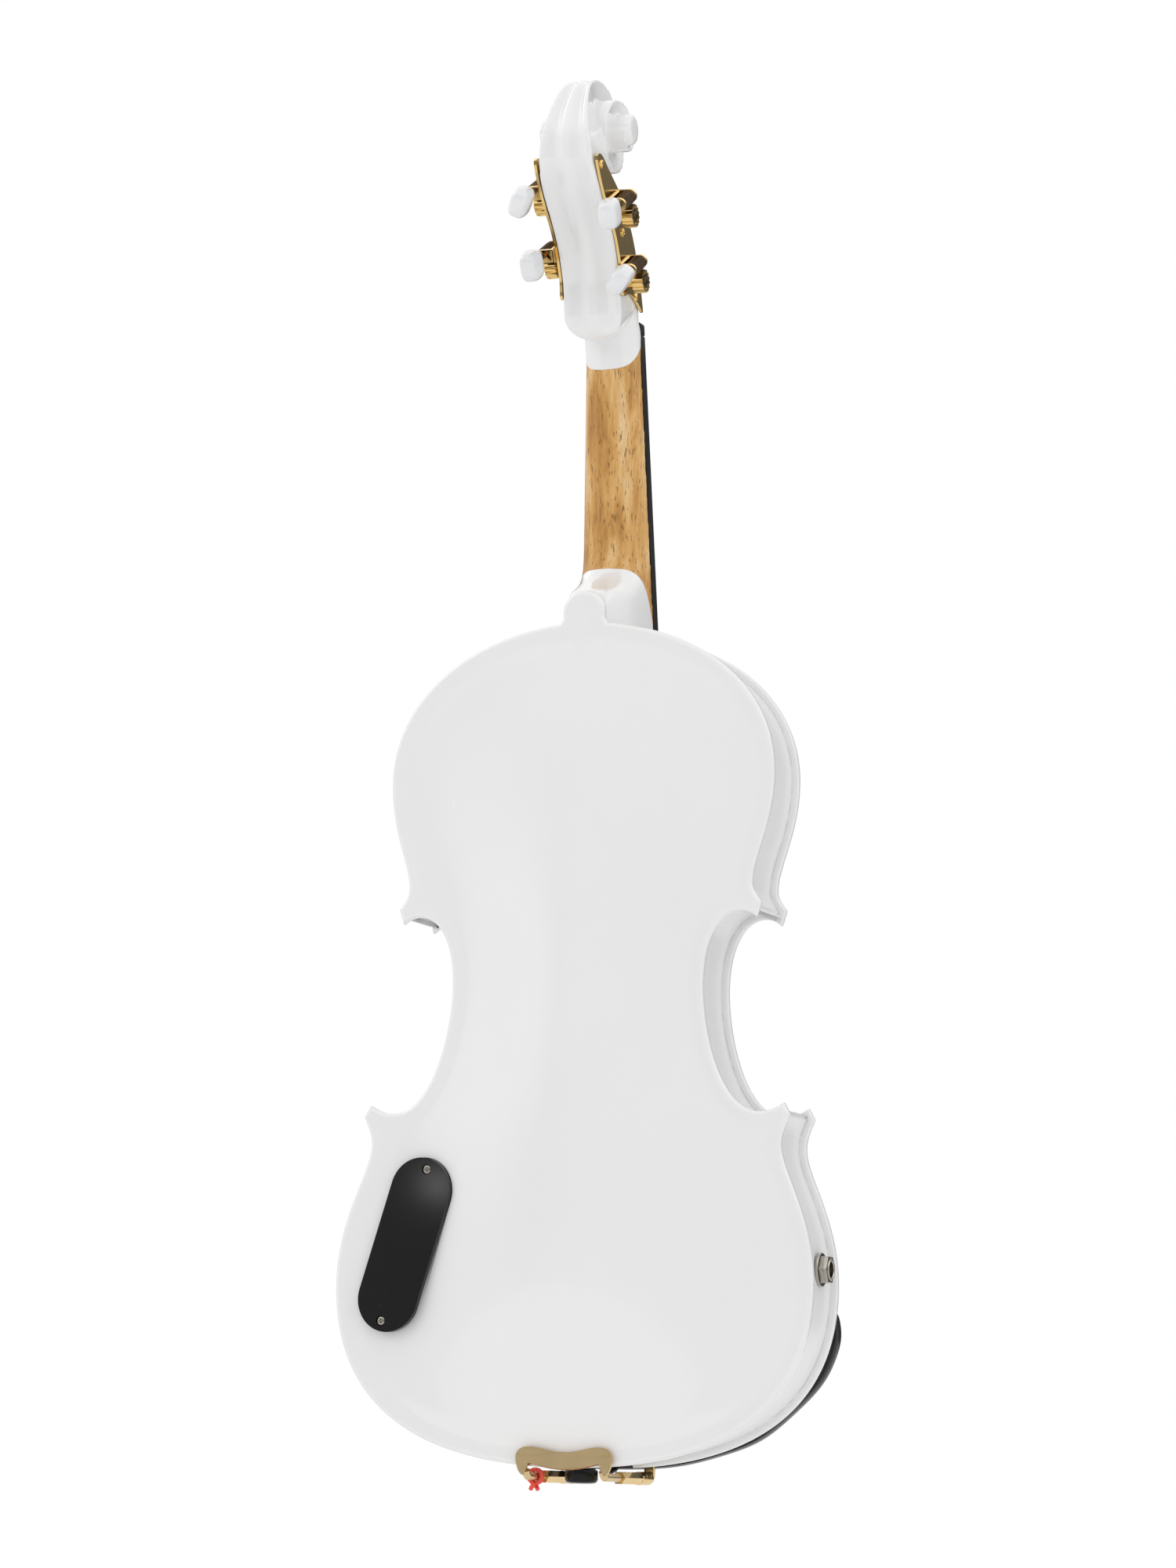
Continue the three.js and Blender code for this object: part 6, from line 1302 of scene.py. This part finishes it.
# share of the outline, level
CHIN_RINGS = ((0.9, -38.0), (0.95, -38.0), (0.985, -38.8), (1, -40.4), (1, -44), (0.995, -45.2), (0.975, -45.9),
              (0.95, -46), (0.92, -45.7), (0.86, -44.4), (0.75, -42.9), (0.6, -41.6), (0.4, -40.8), (0.18, -40.6))
cup_edge = [Vector(p) for p in closed_curve(CHIN_SHARES, 8)]
chin_rings = []
for share, level in CHIN_RINGS:
    places = [CUP_CENTRE.lerp(p, share) * CHIN_REACH for p in cup_edge]
    chin_rings.append([(p.x, level, p.y) for p in places])
chin_rest = loft("chin_cup", chin_rings)
for side in (1, -1):
    fuse(chin_rest, block("chin_foot", (side * 25 - 5, -40, 2.5), (side * 25 + 5, -19.3, 15)))
arch_cut = belly.copy()
arch_cut.data = belly.data.copy()
scene.collection.objects.link(arch_cut)
cut(chin_rest, shifted(moved(arch_cut, BODY.inverted()), y=-SEAT_GAP))
seat(chin_rest, chin_black, "body", "ebony", "chin_rest")

CLAMP = {"x": 17.0, "z": -3.6, "rod": 1.7, "barrel": 2.9, "top": -22.0, "bottom": 1.0, "collar": 2.8}
LEG_ROUTE = ((20.4, -1.2), (19.6, -2.5), (18.2, -3.4), (15.6, CLAMP["z"]), (-7, CLAMP["z"]))
FOOT = {"half": 21.3, "low": -0.5, "lobe": 8.6, "middle": 6.5, "ear": -3.2}
PAD = {"half": 20.661, "low": -0.9, "lobe": 8.1, "middle": 6.2, "ear": 0.2}
FOOT_THICKNESS = 1.5
CORK_TOP = EDGE_FACE + 1.3
satin_gold = Finish("satin_gold", (0.72, 0.54, 0.28), 0.3, metallic=1.0)
satin_gold.gloss(satin_gold.noise(500.0, 4.0, vector=satin_gold.place(scale=(0.2, 1, 1))), 0.24, 0.42)
satin_gold.tint(satin_gold.noise(70.0), (0.66, 0.49, 0.25), (0.78, 0.6, 0.34))


def foot_loop(half, low, lobe, middle, ear):
    """Two lobes above, a sagging lower edge, and an ear at each end that turns down to its leg."""
    runs = [((0, low), (half * 0.35, low), (half * 0.55, low + 1.6), (half * 0.74, low + 2.4)),
            ((half * 0.74, low + 2.4), (half * 0.755, low + 1.4), (half * 0.79, ear + 0.6), (half * 0.84, ear)),
            ((half * 0.84, ear), (half * 0.9, ear), (half * 0.99, low), (half, (low + lobe) / 2)),
            ((half, (low + lobe) / 2), (half, lobe * 0.85), (half * 0.88, lobe), (half * 0.72, lobe)),
            ((half * 0.72, lobe), (half * 0.48, lobe), (half * 0.3, middle), (0, middle))]
    points = [bezier(*(Vector(p) for p in run), i / 14) for run in runs for i in range(14)] + [Vector((0, middle))]
    return [tuple(p) for p in points] + [(-p.x, p.y) for p in reversed(points[1:-1])]


foot_plate = slab("clamp_foot_plate", foot_loop(**FOOT), CORK_TOP, CORK_TOP + FOOT_THICKNESS)
for side in HANDS.values():
    route = [(side * CLAMP["x"], y, z) for y, z in LEG_ROUTE]
    fuse(foot_plate, cord("clamp_leg", route, CLAMP["rod"], 20, 6))
soften(foot_plate, 0.4, 3, 50)
seat(foot_plate, satin_gold, "clamp_foot", "gold", "clamp_bracket", flat=True)
cork_finish = Finish("cork", (0.42, 0.2, 0.07), 0.85)
crumbs = cork_finish.noise(700.0, 4.0, 0.7)
cork_finish.set(Base_Color=cork_finish.ramp(crumbs, (0.35, (0.24, 0.1, 0.035)), (0.6, (0.52, 0.27, 0.1))))
cork_finish.bump(cork_finish.noise(900.0, 3.0), 0.5, 0.0004)
pad = slab("clamp_cork_pad", foot_loop(**PAD), EDGE_FACE + 0.1, CORK_TOP)
seat(pad, cork_finish, "clamp_foot", "cork", "clamp_cork")

PIN_LEVELS = (-16.5, -10.5, -4.5)
CHIN_POST_SHAPE = ((0, -14), (CLAMP["rod"], -14), (CLAMP["rod"], -22.4), (2.5, -22.5), (CLAMP["collar"], -22.9),
                   (CLAMP["collar"], -34), (2.6, -35.2), (1.9, -36.4), (0.9, -37.2), (0, -37.4))
GROOVE_SHAPE = ((3.2, -0.5), (2.55, -0.2), (2.55, 0.2), (3.2, 0.5), (3.2, -0.5))
for hand, side in HANDS.items():
    at = (side * CLAMP["x"], 0, CLAMP["z"])
    barrel = slab("hex_barrel", ring_loop(0, 0, CLAMP["barrel"], 6), CLAMP["top"], CLAMP["bottom"])
    cut(barrel, rod("barrel_bore_cut", CLAMP["rod"] + 0.06, -40, 20))
    for level in PIN_LEVELS:
        cut(barrel, shifted(moved(rod("pin_hole_cut", 0.95, -8, 8), TO_Z), y=level))
    soften(barrel, 0.3, 3, 30)
    seat(shifted(barrel, *at), gold, f"barrel_{hand}", "gold", f"clamp_barrel_{hand}", flat=True)
    post = turned("chin_post", CHIN_POST_SHAPE, 40)
    for level in (-26.5, -31.5):
        cut(post, turned("post_groove_cut", [(radius, level + lift) for radius, lift in GROOVE_SHAPE], 40))
    fuse(post, block("chin_strap", (-2.3, -37.7, 0), (2.3, -36.0, 13.8), 0.4))
    seat(shifted(post, *at), gold, "body", "gold", f"chin_rest_post_{hand}")

# Red tie: a short length of red cord knotted round the clamp's treble leg, its two cut ends hanging.
red = Finish("red_cord", (0.83, 0.07, 0.04), 0.55)
twist = red.noise(900.0, 2.0, vector=red.place(scale=(1, 1, 0.4)))
red.tint(twist, (0.72, 0.05, 0.03), (0.93, 0.12, 0.07))
red.bump(twist, 0.4, 0.0003)
TIE_RADIUS = 0.92
TIE_TURNS = 2
knot = Vector((CLAMP["x"], 9.0, CLAMP["z"]))
wrap = CLAMP["rod"] + TIE_RADIUS + 0.15
route = []
for i in range(37):
    angle = -math.pi * 0.85 + TIE_TURNS * 2 * math.pi * i / 36
    route.append(knot + Vector((-wrap * math.cos(angle), TIE_RADIUS * 2.2 * (i / 36 - 0.5), wrap * math.sin(angle))))
low_end = [knot + Vector(p) for p in ((0.6, -1.4, -wrap - 0.6), (-0.2, -1.1, -wrap - 1.8), (-0.9, -0.6, -wrap - 2.7))]
high_end = [knot + Vector(p) for p in ((0.4, 1.2, -wrap - 0.7), (1.2, 1.2, -wrap - 1.7), (1.8, 0.8, -wrap - 2.7))]
tie = joined(cord("tie_loop", route, TIE_RADIUS, 16), cord("tie_end", [route[0], *low_end], TIE_RADIUS, 16, 6),
             cord("tie_end", [route[-1], *high_end], TIE_RADIUS, 16, 6))
seat(tie, red, "clamp_foot", "red_cord", "red_tie", angle=50)

# Battery cover: a flat plate of polished black acrylic over the battery well, held by two small cross-head screws.
# Under it a black box holds a nine-volt block.
acrylic = Finish("cover_acrylic", (0.004, 0.004, 0.0045), 0.06, IOR=1.4)
speck = acrylic.step(acrylic.noise(900.0, 1.0), 0.79, 0.82)
acrylic.tint(speck, (0.003, 0.003, 0.0035), (0.09, 0.09, 0.09))
acrylic.gloss(speck, 0.05, 0.4)
COVER_SCREWS = (33.0, -33.4)
cover = slab("acrylic_cover", stadium(*COVER_SIZE, 40), COVER_SEAT, COVER_TOP)
for z in COVER_SCREWS:
    cut(cover, shifted(rod("sink_cut", 2.1, COVER_TOP - 0.9, COVER_SEAT + 8), z=z))
soften(cover, 0.45, 4, 40)
seat(cover, acrylic, "body", "gloss_black", "battery_cover", frame=COVER, flat=True)
# a small lamp that shows in the polish by the upper screw
GLINT_AT = (-7.5, COVER_TOP, 28.5)
GLINT_SIZE = (0.0016, 0.0034)
GLINT_LEVEL = 10.0
glint = (COVER @ Vector(GLINT_AT) - BODY @ Vector(CAMERA_AT)).reflect(COVER.col[1].to_3d()).normalized()
aside = [sock - value for sock, value in zip((to_side, to_back, to_top), glint)]
apart = (aside[0] * aside[0] + aside[1] * aside[1] + aside[2] * aside[2]).math("SQRT")
connect(room, backdrop.inputs["Strength"],
        room_light + mirrored * screen(apart * -1, -GLINT_SIZE[1], -GLINT_SIZE[0]) * GLINT_LEVEL)

bright = Finish("nickel", (0.4, 0.37, 0.33), 0.16, metallic=1.0)
bright.gloss(bright.noise(400.0), 0.1, 0.22)
bright.tint(bright.noise(150.0), (0.33, 0.3, 0.26), (0.47, 0.44, 0.4))
for z in COVER_SCREWS:
    screw = moved(cross_screw("cover_screw", 1.9, 0.7), Matrix.Rotation(0.5, 4, "Y"))
    seat(shifted(screw, 0, COVER_TOP - 0.75, z), bright, "body", "nickel", frame=COVER)
cell_finish = Finish("battery_case", (0.05, 0.055, 0.06), 0.35, metallic=0.6)
cell_finish.gloss(cell_finish.noise(120.0), 0.28, 0.45)
dress(cell_finish, "battery")

# Output jack: a nickel quarter-inch socket through the bass rib, with a flat washer and a hexagonal nut.
# The bush is threaded, and a square body sits behind it inside the rib.
JACK = {"z": BODY_LENGTH * 0.2331, "wall": 102.137, "washer": 7.1, "nut": 6.3}
BUSH = 4.5
BORE = 3.25
THREAD_PITCH = 0.75
bushing = turned("jack_bush", [(BORE, 16), (BUSH, 16), (BUSH, -5.9), (BUSH - 0.5, -6.3), (BORE + 0.4, -6.3),
                               (BORE, -5.9), (BORE, 16)], 48)
for k in range(6):
    level = -5.1 + k * THREAD_PITCH
    cut(bushing, turned("thread_cut", [(BUSH + 0.5, level - 0.3), (BUSH - 0.22, level), (BUSH + 0.5, level + 0.3),
                                       (BUSH + 0.5, level - 0.3)], 48))
jack_body = block("jack_body", (-6.5, 9.5, -6.5), (6.5, 30, 6.5), 0.6)
cut(jack_body, rod("jack_bore_cut", BORE, 0, 18))
bushing = joined(bushing, jack_body)
hexagon = slab("jack_hex", ring_loop(0, 0, JACK["nut"], 6), -5.6, -2.2)
cut(hexagon, rod("hex_eye_cut", BUSH + 0.15, -10, 10))
soften(hexagon, 0.4, 3, 30)
washer = rod("jack_washer", JACK["washer"], -2.2, -0.9, 0.3, 56)
cut(washer, rod("washer_eye_cut", BUSH + 0.15, -10, 10))
to_wall = Matrix.Translation((-JACK["wall"], 0, JACK["z"])) @ TO_X
for piece, stands_for in ((bushing, "jack_socket"), (joined(hexagon, washer), "jack_nut")):
    face_out(moved(piece, to_wall))
    seat(piece, bright, "body", "nickel", stands_for)

# Knobs and inner parts: two fluted black knobs on the belly turn the volume and tone pots behind it.
# The circuit board, bass bar and sound post keep their CAD solids and get green lacquer and spruce.
knob_black = Finish("knob_black", (0.012, 0.012, 0.012), 0.34, IOR=1.35)
knob_black.gloss(knob_black.noise(300.0), 0.26, 0.44)
knob_black.bump(knob_black.noise(800.0, 2.0), 0.1, 0.0002)
# radius and level of a knob over its base
KNOB_SHAPE = ((0, 16), (2.9, 16), (2.9, 0), (8.5, 0), (8.5, -2.0), (8.2, -2.4), (7.5, -2.8), (6.9, -12.6),
              (6.3, -13.6), (5.6, -13.9), (0, -14))
for name, (x, z) in KNOB_PLACES.items():
    base = -EDGE_FACE - arch_height(x, z, ARCH_RISES["belly"], *ARCH_OUTER) - 2.2 - SEAT_GAP
    knob = turned("fluted_knob", [(radius, base + level) for radius, level in KNOB_SHAPE], 72)
    grooved(knob, 18, 7.7, 0.75, base - 12.6, base - 2.9, 0.3, 12)
    seat(shifted(knob, x, 0, z), knob_black, f"{name}_control", "black_plastic", f"{name}_knob", angle=30)
board_green = Finish("circuit_board", (0.02, 0.09, 0.04), 0.4)
board_green.tint(board_green.noise(260.0), (0.015, 0.07, 0.03), (0.03, 0.12, 0.055))
dress(board_green, "preamp_board")
spruce = Finish("spruce", (0.68, 0.48, 0.27), 0.6)
rings_of_growth = spruce.noise(500.0, 3.0, vector=spruce.place(scale=(1, 1, 0.03)))
spruce.tint(rings_of_growth, (0.55, 0.36, 0.18), (0.76, 0.57, 0.35))
dress(spruce, "bass_bar", "sound_post")
